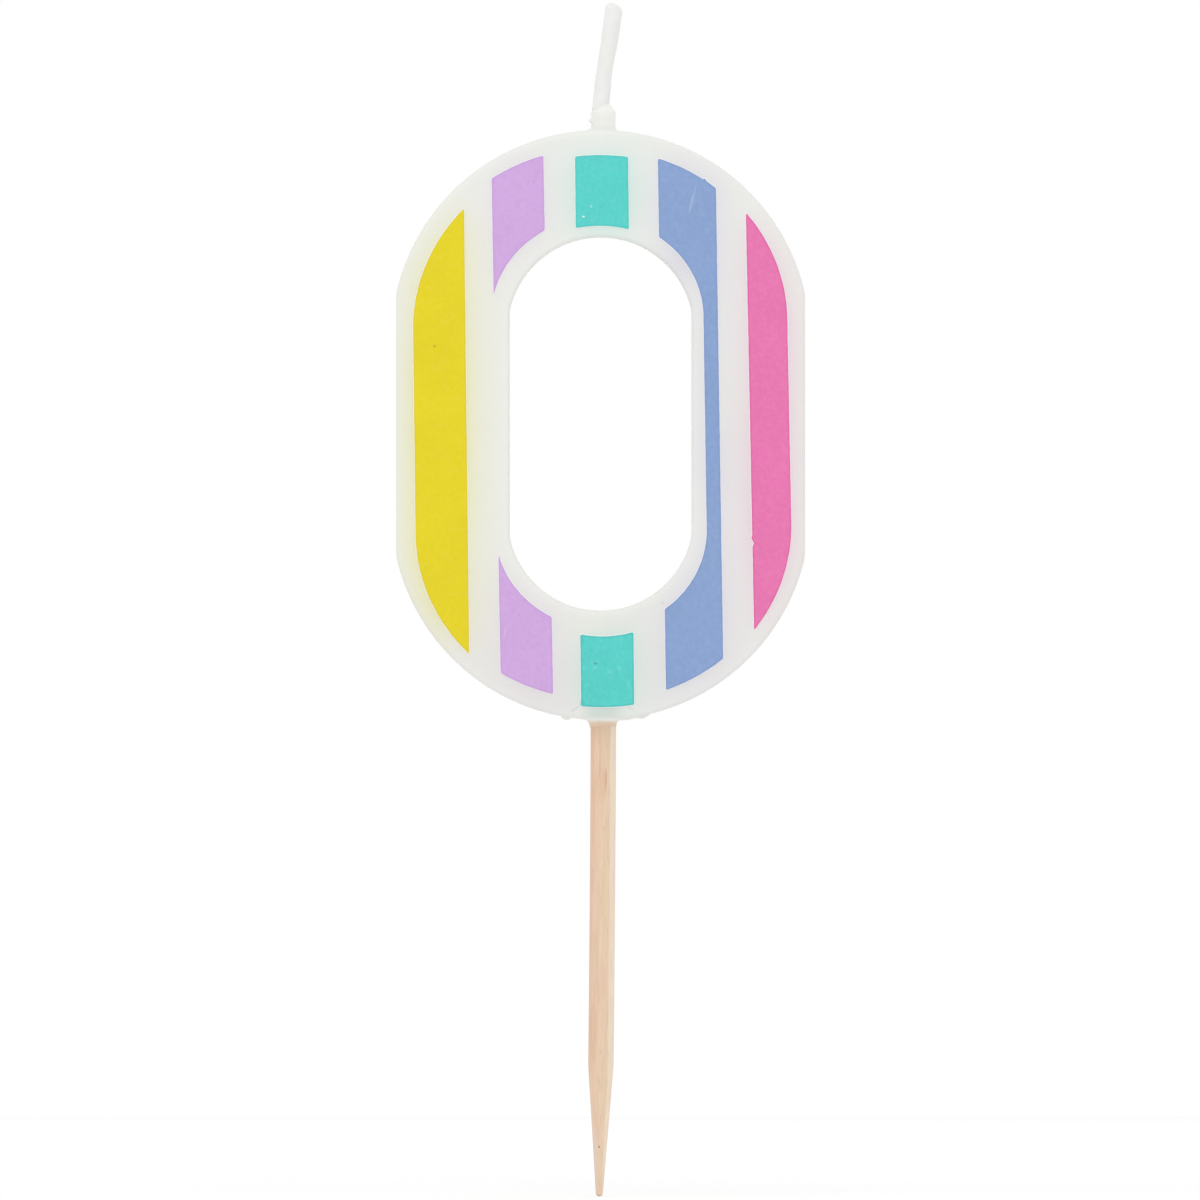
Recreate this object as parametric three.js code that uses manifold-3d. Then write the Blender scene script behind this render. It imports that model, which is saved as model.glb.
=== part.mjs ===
// A number candle: a wax zero cast round a braided wick and a wooden pick, with five printed stripes.
//
// Millimetres, +Z up, +X to the right as seen from the printed front, which faces -Y.
// The origin is at mid-thickness on the underside of the figure, on its centre line, where the pick
// comes out and where the figure stops when the candle is pushed into a cake.

import * as THREE from 'three';
import { mergeVertices } from 'three/addons/utils/BufferGeometryUtils.js';
import Module from 'manifold-3d';

// Cast figure
const FIGURE_HEIGHT = 60.0;
const FIGURE_WIDTH = 41.6;
const FIGURE_THICKNESS = 9.0;
const CROWN_RISE = 16.64; // from the shoulder, where a straight side ends, up to the top
const LEG_WIDTH = 11.58;
const CROWN_THICKNESS = 10.93;
const FOOT_THICKNESS = 11.15;
const OPENING_RISE = 7.45; // from the opening's own shoulder up to its top
const SHOULDER_BLEND = 0.9; // length of each line that a softened shoulder takes up
const EDGE_ROUND = 0.5;

// Trimmed gate on the underside, where the wax was poured
const GATE_WIDTH = 8.3;
const GATE_DEPTH = 6.0;
const GATE_CORNER = 1.2;
const GATE_OFFSET = 0.19; // to the right of the centre line
const GATE_PROUD = 0.1; // the trimmed face stands this far below the figure's curve

// Wooden pick
const PICK_DIAMETER = 2.6;
const PICK_LENGTH = 56.35;
const PICK_TAPER = 13.3;
const PICK_TIP_DIAMETER = 0.7;
const PICK_TIP_ROUND = 0.2;
const PICK_SHOULDER_BLEND = 1.4; // length over which the shaft turns into the cone
const PICK_END_CHAMFER = 0.25;
const PICK_OFFSET = 0.28; // to the right of the centre line, at the underside
const PICK_LEAN = THREE.MathUtils.degToRad(0.45); // its point lies to the left
const PICK_ROOF = 3.1; // wax between the pick's end and the opening
const PICK_FIT = 0.05;
const FILLET_WIDTH = 0.5; // wax that climbs down round the pick, beyond its surface
const FILLET_DROP = 0.65;
const FILLET_LIP = 0.1; // wall of that fillet at its lower edge

// Wick, its coat of priming wax and the collar that the coat comes out of
const WICK_DIAMETER = 1.1;
const WICK_COAT_WALL = 0.25;
const WICK_FREE_LENGTH = 13.05; // from the crown to the dipped tip, along the wick
const WICK_TIP_WAX = 0.45;
const WICK_LEAN = THREE.MathUtils.degToRad(7.6); // to the right
const WICK_OFFSET = -0.28; // where the wick crosses the crown, right of the centre line
const WICK_SEAT = 1.0; // depth of the coat's end below the crown
const WICK_TURN = 4.0; // length of the bend that leads from the crown's middle up to the free end
const WICK_LEG_RUN = 13.0; // straight length down the leg, below its shoulder
const WICK_FIT = 0.05;
const COLLAR_DIAMETER = 2.7;
const COLLAR_HEIGHT = 2.2;
const COLLAR_OFFSET = 0.15; // the collar's axis, right of the centre line
const COLLAR_EDGE = 0.15;
const COLLAR_FLARE = 0.35; // how far its foot spreads beyond its top
const COLLAR_FLARE_HEIGHT = 1.1;

// Printed stripes: the artwork's margins on the front face, and its stripes from left to right
const FILM_THICKNESS = 0.1;
const PRINT_SIDE_MARGIN = 1.75;
const PRINT_END_MARGIN = 1.95;
const PRINT_END_RISE = 17.63; // length of the artwork's elliptical ends
const PRINT_OPENING_SIDE = 1.55; // bare wax beside the opening
const PRINT_OPENING_END = 1.89; // bare wax above and below the opening
const PRINT_OPENING_RISE = 10.04;
const YELLOW_WIDTH = 5.34;
const LILAC_WIDTH = 5.32;
const TURQUOISE_WIDTH = 5.42;
const BLUE_WIDTH = 5.88;
const BLUE_LAP = 1.49; // how far the blue stripe reaches past the opening's margin onto the leg
const PINK_WIDTH = 4.02;
const LILAC_NUDGE = 0.1; // places of the inner stripes, off an even spacing
const TURQUOISE_NUDGE = -0.15;

// How each colour's own printing pass landed: to the right, upwards and turned, seen from the front
const YELLOW_PASS = { right: 0.11, up: -0.49, turn: THREE.MathUtils.degToRad(0.66) };
const LILAC_PASS = { right: -0.14, up: 0.1, turn: THREE.MathUtils.degToRad(1.05) };
const TURQUOISE_PASS = { right: 0.0, up: -0.65, turn: THREE.MathUtils.degToRad(0.67) };
const BLUE_PASS = { right: -0.16, up: -0.03, turn: THREE.MathUtils.degToRad(0.88) };
const PINK_PASS = { right: 0.14, up: 0.06, turn: THREE.MathUtils.degToRad(1.13) };

const CUT_CLEAR = 2.0; // how far a cut runs past the surface that it opens

// Facets
const CROWN_STEPS = 36;
const OPENING_STEPS = 26;
const PRINT_STEPS = 40;
const BLEND_STEPS = 2;
const EDGE_STEPS = 3;
const CORNER_STEPS = 5;
const PICK_SIDES = 24;
const WICK_SIDES = 12;
const WICK_STEPS = 46;
const COAT_SIDES = 24;
const ROUND_STEPS = 4;
const WELD = 1e-4;

// Heights that several pieces share
const figureBottom = GATE_PROUD;
const figureTop = figureBottom + FIGURE_HEIGHT;
const figureMiddle = (figureBottom + figureTop) / 2;
const frontFace = -FIGURE_THICKNESS / 2;
const shoulderTop = figureTop - CROWN_RISE;
const openingBottom = figureBottom + FOOT_THICKNESS;
const openingTop = figureTop - CROWN_THICKNESS;
const openingMiddle = (openingBottom + openingTop) / 2;
const openingHalfWidth = FIGURE_WIDTH / 2 - LEG_WIDTH;

const wasm = await Module();
wasm.setup();

// An upright outline with straight sides and round ends, as points that run anticlockwise. Each end is
// one arc through both shoulders and the top, and the shoulders are softened by a short curve.
function roundEndedOutline(halfWidth, halfHeight, rise, steps) {
  const radius = (halfWidth ** 2 + rise ** 2) / (2 * rise);
  const arcCentre = halfHeight - radius;
  const shoulder = new THREE.Vector2(halfWidth, halfHeight - rise);
  const shoulderAngle = Math.atan2(shoulder.y - arcCentre, halfWidth);
  const blendAngle = shoulderAngle + SHOULDER_BLEND / radius;
  const arc = new THREE.EllipseCurve(0, arcCentre, radius, radius, blendAngle, Math.PI - blendAngle);
  const crown = arc.getPoints(steps);
  const belowShoulder = new THREE.Vector2(halfWidth, shoulder.y - SHOULDER_BLEND);
  const blend = new THREE.QuadraticBezierCurve(belowShoulder, shoulder, crown[0]);
  const rightBlend = blend.getPoints(BLEND_STEPS).slice(0, -1);
  const leftBlend = rightBlend.map((point) => new THREE.Vector2(-point.x, point.y)).reverse();
  const upperHalf = [...rightBlend, ...crown, ...leftBlend];
  const lowerHalf = upperHalf.map((point) => point.clone().negate());
  return [...upperHalf, ...lowerHalf];
}

// The artwork's outline: straight sides that run smoothly into half-ellipses.
function ellipseEndedOutline(halfWidth, halfHeight, rise, steps) {
  const straight = halfHeight - rise;
  const end = new THREE.EllipseCurve(0, straight, halfWidth, rise, 0, Math.PI).getPoints(steps);
  const otherEnd = end.map((point) => point.clone().negate());
  return [...end, ...otherEnd];
}

function movedUp(outline, distance) {
  return outline.map((point) => new THREE.Vector2(point.x, point.y + distance));
}

// A geometry as a solid: vertices that coincide are joined and the slivers at a pole are dropped.
function solidOf(geometry) {
  const bare = geometry.clone();
  bare.deleteAttribute('normal');
  bare.deleteAttribute('uv');
  const welded = mergeVertices(bare, WELD);
  const corners = [];
  for (let first = 0; first < welded.index.count; first += 3) {
    const a = welded.index.getX(first);
    const b = welded.index.getX(first + 1);
    const c = welded.index.getX(first + 2);
    if (a !== b && b !== c && c !== a) {
      corners.push(a, b, c);
    }
  }
  const mesh = new wasm.Mesh({
    numProp: 3,
    vertProperties: new Float32Array(welded.attributes.position.array),
    triVerts: new Uint32Array(corners),
  });
  return new wasm.Manifold(mesh);
}

function geometryOf(solid) {
  const mesh = solid.getMesh();
  const geometry = new THREE.BufferGeometry();
  geometry.setAttribute('position', new THREE.BufferAttribute(mesh.vertProperties, mesh.numProp));
  geometry.setIndex(new THREE.BufferAttribute(mesh.triVerts, 1));
  geometry.computeVertexNormals();
  return geometry;
}

// A solid turned about the Z axis, from [radius, height] pairs that run upwards.
function turned(profile, sides) {
  const points = profile.map(([radius, height]) => new THREE.Vector2(radius, height));
  return new THREE.LatheGeometry(points, sides).rotateX(Math.PI / 2);
}

// A quarter round from one [radius, height] pair to another. The first leaves the pair straight up when
// upFirst is true, and straight across when it is false.
function quarterRound(from, to, upFirst) {
  const points = [];
  for (let step = 0; step <= ROUND_STEPS; step += 1) {
    const angle = (step / ROUND_STEPS) * (Math.PI / 2);
    const slow = 1 - Math.cos(angle);
    const fast = Math.sin(angle);
    const across = upFirst ? slow : fast;
    const along = upFirst ? fast : slow;
    points.push([from[0] + (to[0] - from[0]) * across, from[1] + (to[1] - from[1]) * along]);
  }
  return points;
}

// The axes that the pick and the free wick lie on: a foot on the figure and a lean in the front plane.
const pickAxis = { x: PICK_OFFSET, z: 0, lean: PICK_LEAN };
const wickAxis = { x: WICK_OFFSET, z: figureTop, lean: WICK_LEAN };

function onAxis(geometry, axis) {
  return geometry.rotateY(axis.lean).translate(axis.x, 0, axis.z);
}

function pointOnAxis(axis, height) {
  return new THREE.Vector3(axis.x + (height - axis.z) * Math.tan(axis.lean), 0, height);
}

// Pick
const pickEmbedded = FOOT_THICKNESS - PICK_ROOF;
const pickTop = pickEmbedded - PICK_FIT;

function pickGeometry() {
  const radius = PICK_DIAMETER / 2;
  const tipRadius = PICK_TIP_DIAMETER / 2;
  const tip = pickTop - PICK_LENGTH;
  const coneTop = tip + PICK_TAPER;
  const slope = (radius - tipRadius) / PICK_TAPER;
  const halfBlend = PICK_SHOULDER_BLEND / 2;
  const onCone = new THREE.Vector2(radius - slope * halfBlend, coneTop - halfBlend);
  const shoulder = new THREE.Vector2(radius, coneTop);
  const onShaft = new THREE.Vector2(radius, coneTop + halfBlend);
  const blend = new THREE.QuadraticBezierCurve(onCone, shoulder, onShaft).getPoints(BLEND_STEPS);
  return turned(
    [
      [0, tip],
      ...quarterRound([tipRadius - PICK_TIP_ROUND, tip], [tipRadius, tip + PICK_TIP_ROUND], false),
      ...blend.map((point) => point.toArray()),
      [radius, pickTop - PICK_END_CHAMFER],
      [radius - PICK_END_CHAMFER, pickTop],
      [0, pickTop],
    ],
    PICK_SIDES,
  );
}

function pickSocketGeometry() {
  const radius = PICK_DIAMETER / 2 + PICK_FIT;
  return turned(
    [
      [0, -FILLET_DROP - CUT_CLEAR],
      [radius, -FILLET_DROP - CUT_CLEAR],
      [radius, pickEmbedded],
      [0, pickEmbedded],
    ],
    PICK_SIDES,
  );
}

function pickFilletGeometry() {
  const wall = PICK_DIAMETER / 2 + PICK_FIT;
  const lip = [wall + FILLET_LIP, -FILLET_DROP];
  const root = [wall + FILLET_WIDTH, 0];
  return turned(
    [
      [0, -FILLET_DROP],
      ...quarterRound(lip, root, true),
      [wall + FILLET_WIDTH, FOOT_THICKNESS / 2],
      [0, FOOT_THICKNESS / 2],
    ],
    PICK_SIDES,
  );
}

// Wick
const coatBore = WICK_DIAMETER / 2 + WICK_FIT;
const coatRadius = coatBore + WICK_COAT_WALL;

// From the leg, where the wick ends, round through the crown and out along its leaning axis.
function wickPath() {
  const legX = -(FIGURE_WIDTH - LEG_WIDTH) / 2;
  const crownZ = figureTop - CROWN_THICKNESS / 2;
  const legEnd = new THREE.Vector3(legX, 0, shoulderTop - WICK_LEG_RUN);
  const legShoulder = new THREE.Vector3(legX, 0, shoulderTop);
  const outerCorner = new THREE.Vector3(legX, 0, crownZ);
  const bendCorner = pointOnAxis(wickAxis, crownZ);
  const bendStart = bendCorner.clone().setX(bendCorner.x - WICK_TURN);
  const bendEnd = pointOnAxis(wickAxis, figureTop - WICK_SEAT);
  const coreTip = WICK_FREE_LENGTH - WICK_TIP_WAX - WICK_FIT;
  const freeEnd = pointOnAxis(wickAxis, figureTop + coreTip * Math.cos(WICK_LEAN));
  const path = new THREE.CurvePath();
  path.add(new THREE.LineCurve3(legEnd, legShoulder));
  path.add(new THREE.QuadraticBezierCurve3(legShoulder, outerCorner, bendStart));
  path.add(new THREE.QuadraticBezierCurve3(bendStart, bendCorner, bendEnd));
  path.add(new THREE.LineCurve3(bendEnd, freeEnd));
  return path;
}

function sweptWick(radius) {
  const section = new THREE.Shape();
  section.absarc(0, 0, radius, 0, Math.PI * 2);
  return new THREE.ExtrudeGeometry(section, {
    extrudePath: wickPath(),
    steps: WICK_STEPS,
    curveSegments: WICK_SIDES / 2,
    bevelEnabled: false,
  });
}

function wickCoatGeometry() {
  const boreTop = WICK_FREE_LENGTH - WICK_TIP_WAX;
  return turned(
    [
      [0, boreTop],
      [coatBore, boreTop],
      [coatBore, -WICK_SEAT],
      [coatRadius, -WICK_SEAT],
      ...quarterRound([coatRadius, WICK_FREE_LENGTH - coatRadius], [0, WICK_FREE_LENGTH], true),
    ],
    COAT_SIDES,
  );
}

function coatSeatGeometry() {
  const radius = coatRadius + WICK_FIT;
  const top = COLLAR_HEIGHT + CUT_CLEAR;
  return turned(
    [
      [0, -WICK_SEAT],
      [radius, -WICK_SEAT],
      [radius, top],
      [0, top],
    ],
    COAT_SIDES,
  );
}

function collarGeometry() {
  const radius = COLLAR_DIAMETER / 2;
  return turned(
    [
      [0, -WICK_SEAT],
      [radius + COLLAR_FLARE, -WICK_SEAT],
      ...quarterRound([radius + COLLAR_FLARE, 0], [radius, COLLAR_FLARE_HEIGHT], false),
      ...quarterRound([radius, COLLAR_HEIGHT - COLLAR_EDGE], [radius - COLLAR_EDGE, COLLAR_HEIGHT], true),
      [0, COLLAR_HEIGHT],
    ],
    COAT_SIDES,
  ).translate(COLLAR_OFFSET, 0, figureTop);
}

// Cast figure
function gateGeometry() {
  const right = GATE_WIDTH / 2;
  const back = GATE_DEPTH / 2;
  const plan = new THREE.Shape();
  plan.absarc(right - GATE_CORNER, back - GATE_CORNER, GATE_CORNER, 0, Math.PI / 2);
  plan.absarc(GATE_CORNER - right, back - GATE_CORNER, GATE_CORNER, Math.PI / 2, Math.PI);
  plan.absarc(GATE_CORNER - right, GATE_CORNER - back, GATE_CORNER, Math.PI, Math.PI * 1.5);
  plan.absarc(right - GATE_CORNER, GATE_CORNER - back, GATE_CORNER, Math.PI * 1.5, Math.PI * 2);
  return new THREE.ExtrudeGeometry(plan, {
    depth: FOOT_THICKNESS / 2,
    curveSegments: CORNER_STEPS,
    bevelEnabled: false,
  }).translate(GATE_OFFSET, 0, 0);
}

function figureGeometry() {
  const halfWidth = FIGURE_WIDTH / 2;
  const outer = roundEndedOutline(halfWidth, FIGURE_HEIGHT / 2, CROWN_RISE, CROWN_STEPS);
  const openingHalfHeight = (openingTop - openingBottom) / 2;
  const inner = roundEndedOutline(openingHalfWidth, openingHalfHeight, OPENING_RISE, OPENING_STEPS);
  const shape = new THREE.Shape(movedUp(outer, figureMiddle));
  shape.holes.push(new THREE.Path(movedUp(inner, openingMiddle)));
  return new THREE.ExtrudeGeometry(shape, {
    depth: FIGURE_THICKNESS - EDGE_ROUND * 2,
    bevelThickness: EDGE_ROUND,
    bevelSize: EDGE_ROUND,
    bevelOffset: -EDGE_ROUND,
    bevelSegments: EDGE_STEPS,
  })
    .translate(0, 0, EDGE_ROUND - FIGURE_THICKNESS / 2)
    .rotateX(Math.PI / 2);
}

function waxBodyGeometry() {
  const cast = solidOf(figureGeometry())
    .add(solidOf(gateGeometry()))
    .add(solidOf(onAxis(pickFilletGeometry(), pickAxis)))
    .add(solidOf(collarGeometry()));
  const bored = cast
    .subtract(solidOf(onAxis(pickSocketGeometry(), pickAxis)))
    .subtract(solidOf(onAxis(coatSeatGeometry(), wickAxis)))
    .subtract(solidOf(sweptWick(coatBore)));
  return geometryOf(bored);
}

// Printed stripes. The artwork is drawn about the figure's middle, then moved as its pass landed.
const printHalfWidth = FIGURE_WIDTH / 2 - PRINT_SIDE_MARGIN;
const printHalfHeight = FIGURE_HEIGHT / 2 - PRINT_END_MARGIN;
const printOpeningHalfWidth = openingHalfWidth + PRINT_OPENING_SIDE;

function artworkSolid() {
  const outer = ellipseEndedOutline(printHalfWidth, printHalfHeight, PRINT_END_RISE, PRINT_STEPS);
  const inner = ellipseEndedOutline(
    printOpeningHalfWidth,
    (openingTop - openingBottom) / 2 + PRINT_OPENING_END,
    PRINT_OPENING_RISE,
    PRINT_STEPS,
  );
  const shape = new THREE.Shape(outer);
  shape.holes.push(new THREE.Path(movedUp(inner, openingMiddle - figureMiddle)));
  return solidOf(new THREE.ExtrudeGeometry(shape, { depth: FILM_THICKNESS, bevelEnabled: false }));
}

const artwork = artworkSolid();

// The part of the artwork between two edges across it and two heights, laid on the front face.
function filmGeometry(left, right, low, high, pass) {
  const window = new THREE.BoxGeometry(right - left, high - low, FILM_THICKNESS + CUT_CLEAR * 2);
  window.translate((left + right) / 2, (low + high) / 2, 0);
  return geometryOf(artwork.intersect(solidOf(window)))
    .rotateZ(pass.turn)
    .translate(pass.right, pass.up, 0)
    .rotateX(Math.PI / 2)
    .translate(0, frontFace, figureMiddle);
}

const stripeReach = FIGURE_HEIGHT; // beyond the artwork both ways
const blueRight = printOpeningHalfWidth + BLUE_LAP;
const blueLeft = blueRight - BLUE_WIDTH;
const yellowRight = YELLOW_WIDTH - printHalfWidth;
const innerGap = (blueLeft - yellowRight - LILAC_WIDTH - TURQUOISE_WIDTH) / 3;
const lilacLeft = yellowRight + innerGap + LILAC_NUDGE;
const turquoiseLeft = blueLeft - innerGap - TURQUOISE_WIDTH + TURQUOISE_NUDGE;

// Assembly
function named(name, geometry, colour, roughness) {
  const material = new THREE.MeshStandardMaterial({ color: colour, roughness, metalness: 0 });
  const mesh = new THREE.Mesh(geometry, material);
  mesh.name = name;
  return mesh;
}

function placedOn(mesh, axis) {
  mesh.position.set(axis.x, 0, axis.z);
  mesh.rotation.y = axis.lean;
  return mesh;
}

const WAX = 0xe8eae5;
const COTTON = 0xf2efe6;
const WICK_WAX = 0xeeeeec;
const WOOD = 0xe6cab1;
const YELLOW = 0xe6d62e;
const LILAC = 0xd2abe1;
const TURQUOISE = 0x61d4cb;
const BLUE = 0x8da5d1;
const PINK = 0xe87bb3;

function film(name, edges, heights, pass, colour) {
  return named(name, filmGeometry(...edges, ...heights, pass), colour, 0.4);
}

const candle = new THREE.Group();
const upper = [0, stripeReach];
const lower = [-stripeReach, 0];
const whole = [-stripeReach, stripeReach];
const lilac = [lilacLeft, lilacLeft + LILAC_WIDTH];
const turquoise = [turquoiseLeft, turquoiseLeft + TURQUOISE_WIDTH];

candle.add(named('wax_body', waxBodyGeometry(), WAX, 0.5));
candle.add(named('wick_core', sweptWick(WICK_DIAMETER / 2), COTTON, 0.9));
candle.add(placedOn(named('wick_coat', wickCoatGeometry(), WICK_WAX, 0.5), wickAxis));
candle.add(placedOn(named('pick', pickGeometry(), WOOD, 0.7), pickAxis));
candle.add(film('yellow_stripe', [-FIGURE_WIDTH, yellowRight], whole, YELLOW_PASS, YELLOW));
candle.add(film('lilac_stripe_top', lilac, upper, LILAC_PASS, LILAC));
candle.add(film('lilac_stripe_bottom', lilac, lower, LILAC_PASS, LILAC));
candle.add(film('turquoise_stripe_top', turquoise, upper, TURQUOISE_PASS, TURQUOISE));
candle.add(film('turquoise_stripe_bottom', turquoise, lower, TURQUOISE_PASS, TURQUOISE));
candle.add(film('blue_stripe', [blueLeft, blueRight], whole, BLUE_PASS, BLUE));
candle.add(film('pink_stripe', [printHalfWidth - PINK_WIDTH, FIGURE_WIDTH], whole, PINK_PASS, PINK));

export default candle;
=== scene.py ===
# %% [markdown]
# A number candle, from its solids to its looks
#
# The candle is a cast wax zero on a round wooden pick. A waxed wick leans out of its crown, and
# five printed stripes cross its front. The solids come in from the CAD pack as a fixed frame in
# metres, with the front face towards -Y. Each piece here takes the place of one of those solids at
# full detail, so this script never has to fit anything: the numbers below are the CAD sizes again.

import math
from functools import partialmethod

import bpy
import numpy as np
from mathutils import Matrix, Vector, noise
from mathutils.geometry import delaunay_2d_cdt


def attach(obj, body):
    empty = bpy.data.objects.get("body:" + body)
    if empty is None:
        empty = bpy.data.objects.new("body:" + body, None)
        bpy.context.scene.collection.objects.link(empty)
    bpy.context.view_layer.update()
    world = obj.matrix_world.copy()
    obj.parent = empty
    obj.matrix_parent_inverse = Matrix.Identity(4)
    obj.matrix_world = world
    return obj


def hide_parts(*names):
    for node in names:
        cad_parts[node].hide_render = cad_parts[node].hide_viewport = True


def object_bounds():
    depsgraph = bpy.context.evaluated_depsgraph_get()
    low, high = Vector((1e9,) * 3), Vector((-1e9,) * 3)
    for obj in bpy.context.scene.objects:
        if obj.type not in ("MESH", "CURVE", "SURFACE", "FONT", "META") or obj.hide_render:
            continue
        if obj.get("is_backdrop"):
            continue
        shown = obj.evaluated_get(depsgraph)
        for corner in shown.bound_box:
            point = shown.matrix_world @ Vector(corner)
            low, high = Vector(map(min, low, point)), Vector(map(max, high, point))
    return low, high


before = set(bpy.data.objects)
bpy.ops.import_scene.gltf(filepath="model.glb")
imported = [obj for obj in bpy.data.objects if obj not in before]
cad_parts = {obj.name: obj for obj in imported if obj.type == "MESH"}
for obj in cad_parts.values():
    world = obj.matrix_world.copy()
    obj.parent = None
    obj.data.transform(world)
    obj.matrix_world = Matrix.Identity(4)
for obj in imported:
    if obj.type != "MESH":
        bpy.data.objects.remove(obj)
cad_low, cad_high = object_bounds()
scene = bpy.context.scene
scene.view_settings.view_transform = "Standard"
MM = 0.001
print("frame nodes:", len(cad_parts))
print("frame size in mm:", [round(side / MM, 2) for side in cad_high - cad_low])

# %% [markdown]
# Writing node trees as formulas
#
# Much of this object follows a rule: a round-ended outline, a turned stick, a braid under wax. Such
# a rule is short as a formula and long as hand-placed nodes. Flow wraps one socket of a tree, and
# whatever is worked out from it adds a node, so that the formula can be read in the code and
# followed again in the node editor.

# %% Node helpers
NODES_IN_ROW = 12
NODE_WIDTH, NODE_HEIGHT = 190, 260


def plug(tree, value, socket):
    """Links a socket or a Flow into an input, or sets the input to a plain value."""
    value = getattr(value, "socket", value)
    if isinstance(value, bpy.types.NodeSocket):
        tree.links.new(value, socket)
    else:
        socket.default_value = value


def add(tree, kind, inputs=None, **options):
    """Adds a node with its options and inputs, and sets it down in reading order."""
    node = tree.nodes.new(kind)
    row, column = divmod(len(tree.nodes), NODES_IN_ROW)
    node.location = (NODE_WIDTH * column, -NODE_HEIGHT * row)
    for option, value in options.items():
        setattr(node, option, value)
    for key, value in (inputs or {}).items():
        plug(tree, value, node.inputs[key])
    return node


def flow(tree, kind, inputs=None, output=0, **options):
    """Adds a node and returns one of its outputs as a Flow."""
    return Flow(tree, add(tree, kind, inputs, **options).outputs[output])


# %% Flow
class Flow:
    """A value that runs through a node tree. Each sum on it adds a node."""

    def __init__(self, tree, socket):
        self.tree = tree
        self.socket = socket

    def maths(self, operation, *others):
        """A Math node with this value first. The signs + - * / on a Flow stand for it too."""
        inputs = dict(enumerate((self, *others)))
        return flow(self.tree, "ShaderNodeMath", inputs, operation=operation)

    __add__ = partialmethod(maths, "ADD")
    __sub__ = partialmethod(maths, "SUBTRACT")
    __rsub__ = partialmethod(maths, "MULTIPLY_ADD", -1.0)
    __mul__ = partialmethod(maths, "MULTIPLY")
    __truediv__ = partialmethod(maths, "DIVIDE")

    def ramp(self, low, high):
        """0 below low, 1 above high, and a smooth step between them."""
        return flow(self.tree, "ShaderNodeMapRange",
                    {"Value": self, "From Min": low, "From Max": high}, "Result",
                    interpolation_type="SMOOTHSTEP")

    def fall(self, low, high):
        """1 below low, 0 above high."""
        return 1.0 - self.ramp(low, high)

    def blend(self, first, second):
        """The first colour where this number is 0, the second where it is 1."""
        return flow(self.tree, "ShaderNodeMix", {0: self, 6: first, 7: second}, 2,
                    data_type="RGBA")

    def scaling(self, vector):
        """A colour or vector times this number."""
        return flow(self.tree, "ShaderNodeVectorMath", {0: vector, "Scale": self},
                    operation="SCALE")

    def parts(self):
        """The three numbers of this vector."""
        outputs = add(self.tree, "ShaderNodeSeparateXYZ", {0: self}).outputs
        return [Flow(self.tree, output) for output in outputs]

    def mottle(self, scale, detail=2.0, roughness=0.5):
        """Soft noise from 0 to 1 over this place, at so many features a metre."""
        return flow(self.tree, "ShaderNodeTexNoise", {
            "Vector": self, "Scale": scale, "Detail": detail, "Roughness": roughness})


# %% Places and empty trees
def joined(tree, x, y, z):
    return flow(tree, "ShaderNodeCombineXYZ", {"X": x, "Y": y, "Z": z})


def object_place(tree):
    return flow(tree, "ShaderNodeTexCoord", output="Object")


def point_place(tree):
    return flow(tree, "GeometryNodeInputPosition")


def blank(owner):
    """The emptied node tree of a material or world."""
    owner.use_nodes = True
    owner.node_tree.nodes.clear()
    return owner.node_tree


# %% [markdown]
# Trees with named inputs
#
# A rule gets its sizes as named inputs, so that they can be changed in Blender without reading the
# formula. One helper makes such a tree, for a shader or a shape. Another runs it on a new object
# and keeps the result as a plain mesh, because an exported piece can't depend on a modifier.

# %% Node groups
SOCKETS = {float: "Float", int: "Int", bpy.types.Material: "Material",
           bpy.types.Mesh: "Geometry"}


def titled(label):
    return label.replace("_", " ").title()


def group(name, kind, rule, **inputs):
    """A node group with a named input for each keyword, of the kind of its default value. The
    rule is handed the inputs as Flows and returns the outputs by name."""
    tree = bpy.data.node_groups.new(name, kind)
    for label, default in inputs.items():
        what = SOCKETS.get(type(default)) or {3: "Vector", 4: "Color"}[len(default)]
        socket = tree.interface.new_socket(
            titled(label), in_out="INPUT", socket_type="NodeSocket" + what)
        if what != "Geometry":
            socket.default_value = default
    entry = add(tree, "NodeGroupInput")
    flows = {label: Flow(tree, entry.outputs[titled(label)]) for label in inputs}
    results = rule(tree, **flows)
    for label, result in results.items():
        tree.interface.new_socket(
            label, in_out="OUTPUT", socket_type=result.socket.bl_idname)
    add(tree, "NodeGroupOutput", results)
    return tree


# %% Grown pieces
def linked(name, data):
    piece = bpy.data.objects.new(name, data)
    scene.collection.objects.link(piece)
    return piece


def grown(name, rule, **sizes):
    """Runs a Geometry Nodes tree on a new object and keeps the result as a plain mesh. The rule
    gives its shape from the sizes. A route among them is the mesh that it starts from."""
    def finished(tree, material, **flows):
        shape = rule(tree, **flows)
        smooth = flow(tree, "GeometryNodeSetShadeSmooth", {"Geometry": shape})
        real = flow(tree, "GeometryNodeRealizeInstances", {"Geometry": smooth})
        return {"Geometry": flow(tree, "GeometryNodeSetMaterial",
                                 {"Geometry": real, "Material": material})}

    tree = group(name + " shape", "GeometryNodeTree", finished, **sizes)
    piece = linked(name, sizes.pop("route", None) or bpy.data.meshes.new(name))
    modifier = piece.modifiers.new("Shape", "NODES")
    modifier.node_group = tree
    values = {titled(label): size for label, size in sizes.items()}
    for item in tree.interface.items_tree:
        if item.in_out == "INPUT" and item.name in values:
            modifier[item.identifier] = values[item.name]
    depsgraph = bpy.context.evaluated_depsgraph_get()
    plain = bpy.data.meshes.new_from_object(piece.evaluated_get(depsgraph))
    piece.modifiers.remove(modifier)
    piece.data = plain
    plain.name = name
    plain.materials.clear()
    plain.materials.append(sizes["material"])
    return piece


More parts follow.
